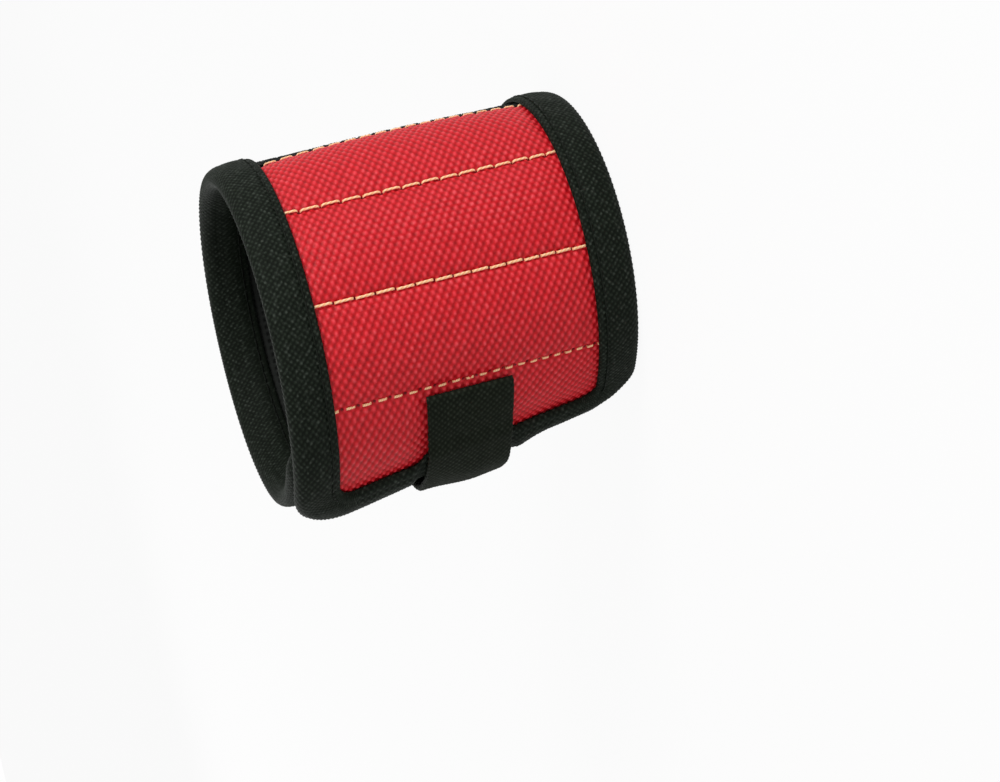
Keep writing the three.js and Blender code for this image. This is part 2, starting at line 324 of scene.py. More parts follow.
    def strip(self, t: Array, z: Array, lift: Array) -> Array:
        """Points on the whole strip: the front above nought and the loop panel below it."""
        t, z, lift = np.broadcast_arrays(t, z, lift)
        return np.where((t < 0.0)[..., None], self.loop(-t, z, lift), self.front(t, z, lift))

    def length_under(self, s: Array) -> Array:
        """The loop panel's length under a length of the front, as the mean over both rings."""
        shares = [(2.0 * math.pi - s / radius) / self.loop_span(radius) for radius in self.rings]
        return self.loop_length * sum(shares) / 2.0

    def strap(self, s: Array, z: Array, lift: Array) -> Array:
        """Points on the strap: on the cover, over the end binding, then down to the loop pile.

        The sewn part follows the front at a lift that climbs over the binding, and past the hinge
        it passes smoothly into the loop panel's sheet.

        Args:
            s: Lengths from the first sewn line.
            z: Heights.
            lift: Lifts off the strap's underside.

        Returns:
            Points, with their three coordinates last.
        """
        top = self.front_end - self.strap_lean - self.reach - self.layer_gap
        climb = (self.strap_on_binding - self.strap_on_cover) * smoothstep(s, top - self.reach / 2.0, top)
        drop = smoothstep(s, self.strap_hinge, self.strap_hinge + self.strap_drop)[..., None]
        sewn = self.front(s, z, self.strap_on_cover + climb + lift, lean=False)
        return sewn * (1.0 - drop) + self.loop(self.length_under(s), z, self.strap_on_pile + lift) * drop

    def up_share(self, z: Array) -> Array:
        """How far a height is from the middle, from -1 to 1 between the edge bindings."""
        return np.clip((z - self.middle) / (self.middle - self.reach), -1.0, 1.0)

    def fullness(self, s: Array, z: Array) -> Array:
        """How full the padding is: nothing along a row's sewn sides, 1 in its middle.

        One less the square along the row times one less the sixth power across the band, to the
        power of the shoulder.

        Args:
            s: Lengths from the first sewn line.
            z: Heights.

        Returns:
            Shares from 0 to 1.
        """
        row = np.clip(np.floor(s / self.pitch), 0, self.rows)
        length = np.where(row < self.rows, self.pitch, self.end_row - self.reach)
        along = np.clip(2.0 * (s - row * self.pitch) / length - 1.0, -1.0, 1.0)
        up = self.up_share(z)
        return ((1.0 - along**2) * (1.0 - up**self.pad_flatness)) ** self.pad_shoulder

    def crown(self, s: Array, z: Array, pocket: float) -> Array:
        """How far padding lifts the cloth: the pockets' crown, or the end row's, times fullness."""
        return np.where(s < self.last_line, pocket, self.end_crown) * self.fullness(s, z)

    def belly(self, t: Array, z: Array) -> Array:
        """How far the outer cloth swells along the first sewn line.

        A bell curve across the line, steeper on the loop panel's side, times one less the square
        of the height from the middle.

        Args:
            t: Lengths on the strip.
            z: Heights.

        Returns:
            Lifts.
        """
        up = self.up_share(z)
        length = np.where(t < 0.0, self.belly_fall, self.belly_length)
        return self.belly_rise * np.exp(-((t / length) ** 2)) * (1.0 - up**2)

    def hump(self, s: Array, z: Array) -> Array:
        """How far the end of the end row stands up under the strap.

        It eases up along the last of the row. Across the band it grows from the strap's arm-side
        edge towards its hand-side edge, and dies away past that.

        Args:
            s: Lengths from the first sewn line, along the leant cloth.
            z: Heights.

        Returns:
            Lifts.
        """
        along = smoothstep(s, self.front_end - self.hump_lead, self.front_end - self.hump_flat)
        inside = self.strap_middle + self.strap_width / 2.0 - z
        grown = smoothstep(inside, 0.0, self.hump_near)
        gone = smoothstep(inside - self.strap_width, 0.0, self.hump_past)
        return self.hump_rise * along * grown * (1.0 - gone)

    def rim(self, t: Array) -> Array:
        """How far the cloth's edge is drawn in by the round corners at both ends of the strip.

        Each corner is a quarter circle: its radius times one less the root of one less the square of
        the share of the way into it.

        Args:
            t: Lengths on the strip.

        Returns:
            Distances in from the edge.
        """
        radius = self.corner - self.core_inset
        past = np.maximum(t - (self.front_end - self.corner), -t - (self.loop_length - self.corner))
        past = np.clip(past / radius, 0.0, 1.0)
        return radius * (1.0 - np.sqrt(1.0 - past**2))

    def grid(self, start: float, end: float, step: float) -> tuple[Array, Array]:
        """Lengths and heights of a grid over the cloth, drawn in at the round corners.

        Args:
            start: The length where the grid starts.
            end: The length where it ends.
            step: About how far its points are apart.

        Returns:
            Lengths and heights, both lengths by places across.
        """
        lengths, shares = counted(start, end, step), counted(0.0, 1.0, step / self.width)
        s, share = np.meshgrid(lengths, shares, indexing="ij")
        low = self.core_inset + self.rim(s)
        return s, low + share * (self.width - 2.0 * low)

    def span(self, fold: Fold) -> tuple[float, float]:
        """The lengths that a piece takes up, each end halfway to the next fold.

        Args:
            fold: Where the piece bends.

        Returns:
            Where it starts and where it ends.
        """
        cuts = [-self.loop_length, -1.5 * self.third, -0.5 * self.third]
        cuts += [(row + 0.5) * self.pitch for row in range(self.rows)] + [self.front_end]
        index = STRIP_FOLDS.index(fold)
        return cuts[index], cuts[index + 1]

    def bend(self, piece: bpy.types.Object, fold: Fold, ease: float = 5.0) -> None:
        """Find the hinge of a piece's fold, and bake the piece's place into its mesh.

        Two points are worked out the same length from the hinge on both sides, along the cloth; nothing
        bends the piece.

        Args:
            piece: The finished mesh.
            fold: Where it bends.
            ease: How far from the hinge the two points lie, in millimetres.
        """
        joint = next(j for j in frame["joints"] if {j["parent"], j["child"]} == set(fold.value))
        if fold in STRIP_FOLDS:
            places = [-2.0 * self.third, -self.third] + [row * self.pitch for row in range(self.rows + 1)]
            sheet, at = self.strip, places[STRIP_FOLDS.index(fold)]
        else:
            places = {Fold.STRAP_ROOT: 0.0, Fold.STRAP_TIP: self.strap_free / 2.0}
            sheet, at = self.strap, self.strap_hinge + places[fold]
        ends = sheet(np.array([at - 1.0, at + 1.0]), np.full(2, self.middle), np.zeros(2))
        along = (ends[1] - ends[0]) / np.linalg.norm(ends[1] - ends[0]) * ease * MM
        hinge = np.array(joint["pos_m"])
        tuple(hinge - along)
        tuple(hinge + along)
        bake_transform(piece)


@dataclass
class Skin:
    """A closed mesh on its way to Blender.

    Points and cloth coordinates are in millimetres, faces are grouped by their count of corners,
    and values are what a finish reads at each point.
    """

    points: Array
    faces: list[Array]
    cloth: Array
    values: dict[str, Array] = field(default_factory=dict)

    def turned_out(self) -> list[Array]:
        """The faces, turned over if the mesh's signed volume says that they point inward.

        Returns:
            The faces, as lists of point numbers by their count of corners.
        """
        volume = 0.0
        for face in self.faces:
            fan = self.points[face] - self.points.mean(axis=0)
            volume += np.einsum("ij,ikj->", fan[:, 0], np.cross(fan[:, 1:-1], fan[:, 2:]))
        return self.faces if volume > 0.0 else [face[:, ::-1] for face in self.faces]

    def to_object(self, name: str, material: Material) -> bpy.types.Object:
        """Put the mesh into Blender.

        Args:
            name: The piece's name.
            material: Its finish.

        Returns:
            The new object, at the origin.
        """
        faces = self.turned_out()
        corners = np.concatenate([face.ravel() for face in faces]).astype(np.int32)
        counts = np.concatenate([np.full(len(face), face.shape[1]) for face in faces])
        starts = np.concatenate([[0], np.cumsum(counts)[:-1]]).astype(np.int32)
        mesh = bpy.data.meshes.new(name)
        mesh.vertices.add(len(self.points))
        mesh.vertices.foreach_set("co", (self.points * MM).astype(np.float32).ravel())
        mesh.loops.add(len(corners))
        mesh.loops.foreach_set("vertex_index", corners)
        mesh.polygons.add(len(starts))
        mesh.polygons.foreach_set("loop_start", starts)
        mesh.update(calc_edges=True)
        mesh.polygons.foreach_set("use_smooth", np.ones(len(starts), dtype=bool))
        mesh.set_sharp_from_angle(angle=SHARP_ANGLE)
        layer = mesh.uv_layers.new(name=CLOTH)
        layer.data.foreach_set("uv", self.cloth[corners].astype(np.float32).ravel())
        for key, value in self.values.items():
            attribute = mesh.attributes.new(key, "FLOAT", "POINT")
            attribute.data.foreach_set("value", value.astype(np.float32).ravel())
        mesh.materials.append(material)
        piece = bpy.data.objects.new(name, mesh)
        bpy.context.scene.collection.objects.link(piece)
        LOG.info("%s: %d points, %d faces", name, len(self.points), len(starts))
        return piece


def shell(sheet: Sheet, s: Array, z: Array, lifts: Sequence[Array], **values: Array) -> Skin:
    """A closed slab between two lifts off a sheet of cloth, with walls round its edge.

    Args:
        sheet: Gives the places of lengths, heights and lifts.
        s: Lengths, in a grid.
        z: Heights.
        lifts: Lifts of one face and of the other.
        **values: What the finish reads, one value for each point of the grid.

    Returns:
        The slab's mesh.
    """
    rows, columns = s.shape
    upper, lower = np.arange(2 * rows * columns).reshape(2, rows, columns)

    def cells(grid: Array) -> Array:
        """Four-cornered faces of a grid of point numbers."""
        corners = [grid[:-1, :-1], grid[:-1, 1:], grid[1:, 1:], grid[1:, :-1]]
        return np.stack(corners, axis=-1).reshape(-1, 4)

    def edge(grid: Array) -> Array:
        """Point numbers once round the edge of a grid."""
        return np.concatenate([grid[0, :-1], grid[:-1, -1], grid[-1, :0:-1], grid[:0:-1, 0]])

    high, low = edge(upper), edge(lower)
    walls = np.stack([np.roll(high, -1), high, low, np.roll(low, -1)], axis=-1)
    faces = np.concatenate([cells(upper), cells(lower)[:, ::-1], walls])
    both = {key: np.concatenate([value.ravel(), value.ravel()]) for key, value in values.items()}
    points = np.concatenate([sheet(s, z, lift).reshape(-1, 3) for lift in lifts])
    cloth = np.stack([s, z], axis=-1).reshape(-1, 2)
    return Skin(points, [faces], np.concatenate([cloth, cloth]), both)


def tubes(rings: Array, cloth: Array, **values: Array) -> Skin:
    """Closed sections carried along paths, capped at both ends.

    Args:
        rings: Points, tubes by rings by points of a ring by three.
        cloth: Cloth coordinates of those points.
        **values: What the finish reads at them.

    Returns:
        The tubes' mesh.
    """
    count, length, around, _ = rings.shape
    index = np.arange(count * length * around).reshape(count, length, around)
    here, there = index[:, :-1], index[:, 1:]
    sides = np.stack([here, np.roll(here, -1, axis=2), np.roll(there, -1, axis=2), there], axis=-1)
    caps = np.concatenate([index[:, 0, ::-1], index[:, -1]])
    flat = {key: np.broadcast_to(value, index.shape).ravel() for key, value in values.items()}
    return Skin(rings.reshape(-1, 3), [sides.reshape(-1, 4), caps], cloth.reshape(-1, 2), flat)


@dataclass(frozen=True)
class Weave:
    """A plain weave: yarns pass over and under each other by turns. Pitches are in millimetres."""

    along: float
    across: float
    depth: float
    dots: float
    swing: float = 0.6
    roundness: float = 1.6

    def ridge(self, off: Array) -> Array:
        """A yarn's round ridge, by the distance from its middle as a share of its pitch."""
        return np.sqrt(np.clip(1.0 - (self.roundness * off) ** 2, 0.0, 1.0))

    def at(self, a: Array, b: Array) -> tuple[Array, Array]:
        """The cloth's face at a point.

        Each yarn is a round ridge about its own middle that rises and falls as a cosine along its
        run, up where the other yarn is down, and the higher of the two shows. A share of soft
        dots, half less half the product of two cosines, swells the crowns of the yarns along.

        Args:
            a: Lengths along the cloth.
            b: Lengths across it.

        Returns:
            Heights from 0 in the gaps to 1 on the crowns, and 1 where the yarn across shows.
        """
        u, v = a / self.along, b / self.across
        i, j = np.round(u), np.round(v)
        turn = np.where((i + j) % 2.0 == 0.0, self.swing, -self.swing)
        off_u, off_v = u - i, v - j
        first = turn * np.cos(np.pi * off_v) + self.ridge(off_u)
        second = self.ridge(off_v) - turn * np.cos(np.pi * off_u)
        low = math.sqrt(1.0 - (self.roundness / 2.0) ** 2)
        plain = np.clip((np.maximum(first, second) - low) / (1.0 + self.swing - low), 0.0, 1.0)
        dots = 0.5 - 0.5 * np.cos(np.pi * u) * np.cos(np.pi * v)
        return plain + self.dots * (dots - plain), (first > second).astype(float)


class Signal:
    """A node's socket that carries a number, with sums and products that add Math nodes."""

    def __init__(self, bench: "Bench", socket: "bpy.types.NodeSocket | None") -> None:
        """Keep the socket and the bench whose tree it is in."""
        self.bench = bench
        self.socket = socket

    def math(self, operation: str, *values: "Signal | float") -> "Signal":
        """A Math node on these values."""
        return self.bench.node("ShaderNodeMath", {"operation": operation}, dict(enumerate(values)))

    def __add__(self, other: "Signal | float") -> "Signal":
        """This value plus another."""
        return self.math("ADD", self, other)

    def __sub__(self, other: "Signal | float") -> "Signal":
        """This value less another."""
        return self.math("SUBTRACT", self, other)

    def __rsub__(self, other: "Signal | float") -> "Signal":
        """Another value less this one."""
        return self.math("SUBTRACT", other, self)

    def __mul__(self, other: "Signal | float") -> "Signal":
        """This value times another."""
        return self.math("MULTIPLY", self, other)

    __radd__ = __add__
    __rmul__ = __mul__

    def made_uneven(self, noise: "Signal", share: float) -> "Signal":
        """This value times a noise that swings by a share about its middle."""
        return self * (1.0 - share / 2.0 + share * noise)

    def ease(self, start: float, end: float) -> "Signal":
        """A smooth step from 0 to 1 as this value goes from start to end."""
        sockets = {"Value": self, "From Min": start, "From Max": end}
        return self.bench.node("ShaderNodeMapRange", {"interpolation_type": "SMOOTHSTEP"}, sockets)


class Bench:
    """A node tree and the ways to put nodes in it."""

    def __init__(self, tree: bpy.types.NodeTree) -> None:
        """Start with an empty tree."""
        self.tree = tree
        tree.nodes.clear()

    def node(
        self,
        kind: str,
        settings: Mapping[str, Any] | None = None,
        sockets: Mapping[str | int, Any] | None = None,
        output: str | int = 0,
    ) -> Signal:
        """Add a node.

        Args:
            kind: The node's type.
            settings: Its own values, set first; "stops" gives a ramp's places and colours.
            sockets: Values, colours or links of its input sockets, by name or number.
            output: The output to return.

        Returns:
            That output, or an empty signal for a node that has none.
        """
        node = self.tree.nodes.new(kind)
        for key, value in (settings or {}).items():
            if key == "stops":
                elements = node.color_ramp.elements
                for _ in value[2:]:
                    elements.new(1.0)
                for element, (place, colour) in zip(elements, value):
                    element.position, element.color = place, (*colour, 1.0)
            else:
                setattr(node, key, value)
        for key, value in (sockets or {}).items():
            socket = node.inputs[key]
            if isinstance(value, Signal):
                self.tree.links.new(value.socket, socket)
            else:
                socket.default_value = (*value, 1.0) if socket.type == "RGBA" else value
        return Signal(self, node.outputs[output] if len(node.outputs) else None)

    def value(self, name: str) -> Signal:
        """A value that the mesh carries at its points."""
        return self.node("ShaderNodeAttribute", {"attribute_name": name}, output="Fac")

    def cloth(self) -> Signal:
        """The cloth coordinates, in millimetres."""
        return self.node("ShaderNodeUVMap", {"uv_map": CLOTH})

    def solid(self) -> Signal:
        """The piece's own coordinates, in metres."""
        return self.node("ShaderNodeTexCoord", output="Object")

    def stretched(self, place: Signal, by: tuple[float, float, float]) -> Signal:
        """Coordinates times a number for each axis."""
        return self.node("ShaderNodeVectorMath", {"operation": "MULTIPLY"}, {0: place, 1: by})

    def noise(self, place: Signal, scale: float, detail: float = 2.0) -> Signal:
        """Soft noise, so many waves to a unit of the coordinates."""
        return self.node("ShaderNodeTexNoise", sockets={"Vector": place, "Scale": scale, "Detail": detail})

    def mix(self, share: Signal, first: "Signal | Colour", second: "Signal | Colour") -> Signal:
        """One colour passing into another; the numbers are those of a Mix node's colour sockets."""
        settings = {"data_type": "RGBA", "blend_type": "MIX"}
        return self.node("ShaderNodeMix", settings, {0: share, 6: first, 7: second}, output=2)

    def ramp(self, value: Signal, places: Sequence[float], *colours: Colour) -> Signal:
        """Colours at places of a value, each passing into the next between them."""
        stops = list(zip(places, colours))
        return self.node("ShaderNodeValToRGB", {"stops": stops}, {"Fac": value})

    def bump(self, height: Signal, distance: float, strength: float = 1.0) -> Signal:
        """A Bump node; the distance is in millimetres."""
        sockets = {"Height": height, "Distance": distance * MM, "Strength": strength}
        return self.node("ShaderNodeBump", sockets=sockets)

    def surface(self, sockets: Mapping[str, Any]) -> None:
        """Close a material with one shader that takes these values and links."""
        shader = self.node("ShaderNodeBsdfPrincipled", sockets=sockets)
        self.node("ShaderNodeOutputMaterial", sockets={"Surface": shader})


def new_material(name: str) -> tuple[Material, Bench]:
    """An empty material and the bench for its nodes.

    Args:
        name: The material's name.

    Returns:
        The material and the bench.
    """
    material = bpy.data.materials.new(name)
    material.use_nodes = True
    return material, Bench(material.node_tree)


@dataclass(frozen=True)
class WovenFinish:
    """Woven cloth with fine filaments along each yarn, with painted light on the crowns and painted shade
    in the gaps.
    """

    name: str
    # Painted shade: the colour down in the gaps between yarns, where shade falls.
    gap: Colour
    yarn: Colour
    # Painted light: the colour on the yarns' crowns, which face the light.
    crown: Colour
    # Painted highlight: the glint colour, mixed onto the crowns in spots that noise picks.
    painted_glint: Colour
    glint_share: float
    glint_size: float
    roughness: float
    specular: float
    stops: tuple[float, ...] = (0.06, 0.52, 0.95)
    glint_span: tuple[float, float] = (0.5, 0.68)
    # Painted shade: the colour down each needle hole.
    pit: Colour = (0.12, 0.004, 0.006)
    pit_span: tuple[float, float] = (0.2, 0.7)
    filaments: float = 5.0
    filament_size: float = 1.6
    filament_share: float = 0.28
    patch_size: float = 0.35
    patch_share: float = 0.35
    filament_gloss: float = 0.12
    crown_gloss: float = 0.08
    grain_size: float = 6.0
    grain_share: float = 0.4
    bump_height: float = 0.05
    bump_strength: float = 0.7

    def make(self) -> Material:
        """The material.

        Colour runs from painted shade in the gaps through yarn to painted light on the crowns, by the
        yarn's height and uneven from yarn to yarn, with painted glints in spots on the crowns.
        Noise drawn out along whichever yarn shows gives filaments.

        Returns:
            The material.
        """
        material, bench = new_material(self.name)
        yarn, over, hole = bench.value(YARN), bench.value(OVER), bench.value(HOLE)
        place = bench.cloth()
        along = bench.noise(bench.stretched(place, (self.filaments, 1.0, 1.0)), self.filament_size)
        across = bench.noise(bench.stretched(place, (1.0, self.filaments, 1.0)), self.filament_size)
        filament = across + over * (along - across)
        patches = (bench.noise(place, self.patch_size, detail=3.0) - 0.5) * self.patch_share
        height = yarn.made_uneven(filament, self.filament_share) + patches
        # The ramp paints shade into the gaps and light onto the crowns, by the yarn's height.
        cloth = bench.ramp(height, self.stops, self.gap, self.yarn, self.crown)
        # Painted highlight: noise picks spots on the crowns, and the glint colour is mixed in there.
        glint_share = bench.noise(place, self.glint_size, detail=1.0).ease(*self.glint_span)
        glint_spots = glint_share * yarn * yarn * self.glint_share
        painted_glint = bench.mix(glint_spots, cloth, self.painted_glint)
        # Painted shade: each needle hole darkens towards its depth.
        base = bench.mix(hole.ease(*self.pit_span), painted_glint, self.pit)
        rough = self.roughness + self.filament_gloss * (0.5 - filament) - self.crown_gloss * yarn
        grain = filament + self.grain_share * bench.noise(place, self.grain_size)
        normal = bench.bump(grain, self.bump_height, self.bump_strength)
        bench.surface({"Base Color": base, "Roughness": rough, "Normal": normal,
                       "Specular IOR Level": self.specular})
        return material


@dataclass(frozen=True)
class KnitFinish:
    """Knitted mesh with painted shade down its small holes, and lint on its face."""

    name: str
    # Painted shade: the colour down the mesh's holes.
    hole: Colour
    yarn: Colour
    lint: Colour
    stops: tuple[float, ...] = (0.05, 0.6, 1.0)
    loop_stretch: float = 3.0
    loop_size: float = 2.4
    loop_share: float = 0.4
    loop_gloss: float = 0.2
    grain_size: float = 5.0
    bump_height: float = 0.06
    roughness: float = 0.72
    specular: float = 0.12

    def make(self) -> Material:
        """Painted shade in the holes passes into yarn by height, with stretched noise for loops of yarn and
        lint.

        Returns:
            The material.
        """
        material, bench = new_material(self.name)
        place = bench.cloth()
        loops = bench.noise(bench.stretched(place, (1.0, self.loop_stretch, 1.0)), self.loop_size)
        height = bench.value(YARN).made_uneven(loops, self.loop_share)
        base = bench.ramp(height, self.stops, self.hole, self.yarn, self.lint)
        rough = self.roughness + self.loop_gloss * loops
        normal = bench.bump(loops + bench.noise(place, self.grain_size), self.bump_height)
        bench.surface({"Base Color": base, "Roughness": rough, "Normal": normal,
                       "Specular IOR Level": self.specular})
        return material


@dataclass(frozen=True)
class BrushedFinish:
    """Brushed fibres: loop pile, felt or fluff."""

    name: str
    deep: Colour
    fibre: Colour
    sheen: float
    specular: float
    size: float
    sheen_roughness: float = 0.5
    broad_times: float = 9.0
    broad_share: float = 0.25
    broad_gloss: float = 0.18
    span: tuple[float, float] = (0.3, 0.7)
    roughness: float = 0.78
    bump_height: float = 0.12

    def make(self) -> Material:
        """Two noises of unlike sizes mix a deep colour and a fibre colour.

        Returns:
            The material.
        """
        material, bench = new_material(self.name)
        place = bench.solid()
        fine = bench.noise(place, self.size / MM, detail=4.0)
        broad = bench.noise(place, self.size / MM / self.broad_times)
        share = fine * (1.0 - self.broad_share) + broad * self.broad_share
        base = bench.mix(share.ease(*self.span), self.deep, self.fibre)
        bench.surface({
            "Base Color": base,
            "Roughness": self.roughness + self.broad_gloss * broad,
            "Normal": bench.bump(fine, self.bump_height),
            "Sheen Weight": self.sheen,
            "Sheen Roughness": self.sheen_roughness,
            "Specular IOR Level": self.specular,
        })
        return material


@dataclass(frozen=True)
class ThreadFinish:
    """Twisted sewing thread: lighter on its plies than in the furrow between them, where shade is painted.
    """

    name: str
    # Painted shade: the colour in the furrow between the plies, and under the black stitches.
    furrow: Colour
    ply: Colour
    specular: float
    filaments: float = 6.0
    filament_size: float = 2.2
    filament_share: float = 0.4
    filament_gloss: float = 0.2
    span: tuple[float, float] = (0.05, 0.9)
    roughness: float = 0.62
    bump_height: float = 0.03

    def make(self) -> Material:
        """Painted shade in the furrow passes into the ply's colour by height, with fine filaments along the
        thread.

        Returns:
            The material.
        """
        material, bench = new_material(self.name)
        place = bench.stretched(bench.cloth(), (1.0, self.filaments, 1.0))
        filament = bench.noise(place, self.filament_size)
        height = bench.value(YARN).made_uneven(filament, self.filament_share)
        bench.surface({
            "Base Color": bench.mix(height.ease(*self.span), self.furrow, self.ply),
            "Roughness": self.roughness - self.filament_gloss * filament,
            "Normal": bench.bump(filament, self.bump_height),
            "Specular IOR Level": self.specular,
        })
        return material


@dataclass(frozen=True)
class MouldedFinish:
    """Moulded nylon, a little uneven in gloss."""

    name: str
    low: Colour
    high: Colour
    roughness: float
    specular: float
    patch_size: float = 1.3
    patch_gloss: float = 0.2
    grain_size: float = 6.0
    bump_height: float = 0.02

    def make(self) -> Material:
        """Soft noise mixes two near colours and shifts the gloss.

        Returns:
            The material.
        """
        material, bench = new_material(self.name)
        place = bench.solid()
        broad = bench.noise(place, self.patch_size / MM, detail=3.0)
        bench.surface({
            "Base Color": bench.mix(broad, self.low, self.high),
            "Roughness": self.roughness + self.patch_gloss * (broad - 0.5),
            "Normal": bench.bump(bench.noise(place, self.grain_size / MM), self.bump_height),
            "Specular IOR Level": self.specular,
        })
        return material


@dataclass(frozen=True)
class PlatedFinish:
    """Bright nickel plate with faint scuffs."""

    name: str
    bright: Colour
    scuffed: Colour
    drawn: tuple[float, float, float] = (1.0, 7.0, 3.0)
    scuff_size: float = 0.9
    scuff_span: tuple[float, float] = (0.45, 0.75)
    scuff_gloss: float = 0.25
    roughness: float = 0.2

    def make(self) -> Material:
        """Drawn-out noise mixes bright and scuffed metal and roughens the scuffs.

        Returns:
            The material.
        """
        material, bench = new_material(self.name)
        noise = bench.noise(bench.stretched(bench.solid(), self.drawn), self.scuff_size / MM, detail=4.0)
        scuffs = noise.ease(*self.scuff_span)
        base = bench.mix(scuffs, self.bright, self.scuffed)
        rough = self.roughness + self.scuff_gloss * scuffs
        bench.surface({"Base Color": base, "Metallic": 1.0, "Roughness": rough})
        return material


@dataclass
class Finishes:
    """Every finish on the wristband, made once."""

    # In the woven finishes the gap colours are painted shade, the crown colours painted light, and the
    # glint colours painted highlights.
    cover: Material = field(default_factory=WovenFinish(
        "red_weave", gap=(0.25, 0.0012, 0.0032), yarn=(0.54, 0.0048, 0.0105), crown=(0.76, 0.034, 0.05),
        painted_glint=(0.82, 0.12, 0.14), glint_share=0.4, glint_size=0.8, roughness=0.5, specular=0.22).make)
    binding: Material = field(default_factory=WovenFinish(
        "black_tape", gap=(0.0008, 0.0014, 0.0007), yarn=(0.0042, 0.0066, 0.0038),
        crown=(0.0165, 0.0228, 0.0156), painted_glint=(0.058, 0.07, 0.057), glint_share=0.7, glint_size=0.9,
        roughness=0.68, specular=0.07).make)
    webbing: Material = field(default_factory=WovenFinish(
        "black_webbing", gap=(0.001, 0.0015, 0.0008), yarn=(0.0068, 0.0093, 0.0054),
        crown=(0.0172, 0.0222, 0.0148), painted_glint=(0.04, 0.048, 0.036), glint_share=0.5, glint_size=0.8,
        roughness=0.75, specular=0.05).make)
    # The mesh's hole colour is painted shade.
    lining: Material = field(default_factory=KnitFinish(
        "black_mesh", hole=(0.0015, 0.0017, 0.0015), yarn=(0.008, 0.009, 0.008),
        lint=(0.018, 0.020, 0.018)).make)
    # Painted shade: the ground among the loops is darker than the loops' own yarn.
    pile_ground: Material = field(default_factory=BrushedFinish(
        "black_ground", deep=(0.002, 0.0024, 0.002), fibre=(0.011, 0.0125, 0.011),
        sheen=0.03, specular=0.06, size=1.6).make)
    pile: Material = field(default_factory=BrushedFinish(
        "black_pile", deep=(0.009, 0.0102, 0.009), fibre=(0.034, 0.038, 0.034),
        sheen=0.05, specular=0.1, size=1.6).make)
    wadding: Material = field(default_factory=BrushedFinish(
        "white_felt", deep=(0.62, 0.61, 0.58), fibre=(0.86, 0.85, 0.82),
        sheen=0.3, specular=0.3, size=1.2).make)
    # The furrow colours are painted shade.
    thread: Material = field(default_factory=ThreadFinish(
        "orange_thread", furrow=(0.92, 0.46, 0.2), ply=(1.0, 0.68, 0.42), specular=0.2).make)
    black_thread: Material = field(default_factory=ThreadFinish(
        "black_thread", furrow=(0.0022, 0.003, 0.0021), ply=(0.0085, 0.0112, 0.008), specular=0.05).make)
    hooks: Material = field(default_factory=MouldedFinish(
        "black_hooks", low=(0.005, 0.0055, 0.005), high=(0.013, 0.014, 0.013),
        roughness=0.5, specular=0.2).make)
    magnet: Material = field(default_factory=PlatedFinish(
        "nickel_plate", bright=(0.78, 0.77, 0.74), scuffed=(0.55, 0.55, 0.54)).make)


@dataclass(frozen=True)
class StitchRow:
    """A row of stitches that grow shorter, one by one, from the arm side to the hand side.

    It has the height of a needle hole, the length of the stitch below that hole, the share by
    which each stitch is shorter than the one before, how far the thread shows on each side of a
    stitch's middle, as a share of its length, and how deep the thread is pulled into the cloth.
    """

    hole: float
    length: float
    shrink: float
    shows: float
    sunk: float = 0.0

    def height(self, count: Array) -> Array:
        """The height so many stitches past the hole: lengths that fall off exponentially, summed."""
        return self.hole - self.length * (1.0 - np.exp(-self.shrink * count)) / self.shrink

    def pitch(self, count: Array) -> Array:
        """The length of the stitch so many stitches past the hole."""
        return self.length * np.exp(-self.shrink * count)

    def count(self, z: Array) -> Array:
        """How many stitches past the hole a height is, the other way round."""
        return -np.log(1.0 - self.shrink * (self.hole - z) / self.length) / self.shrink


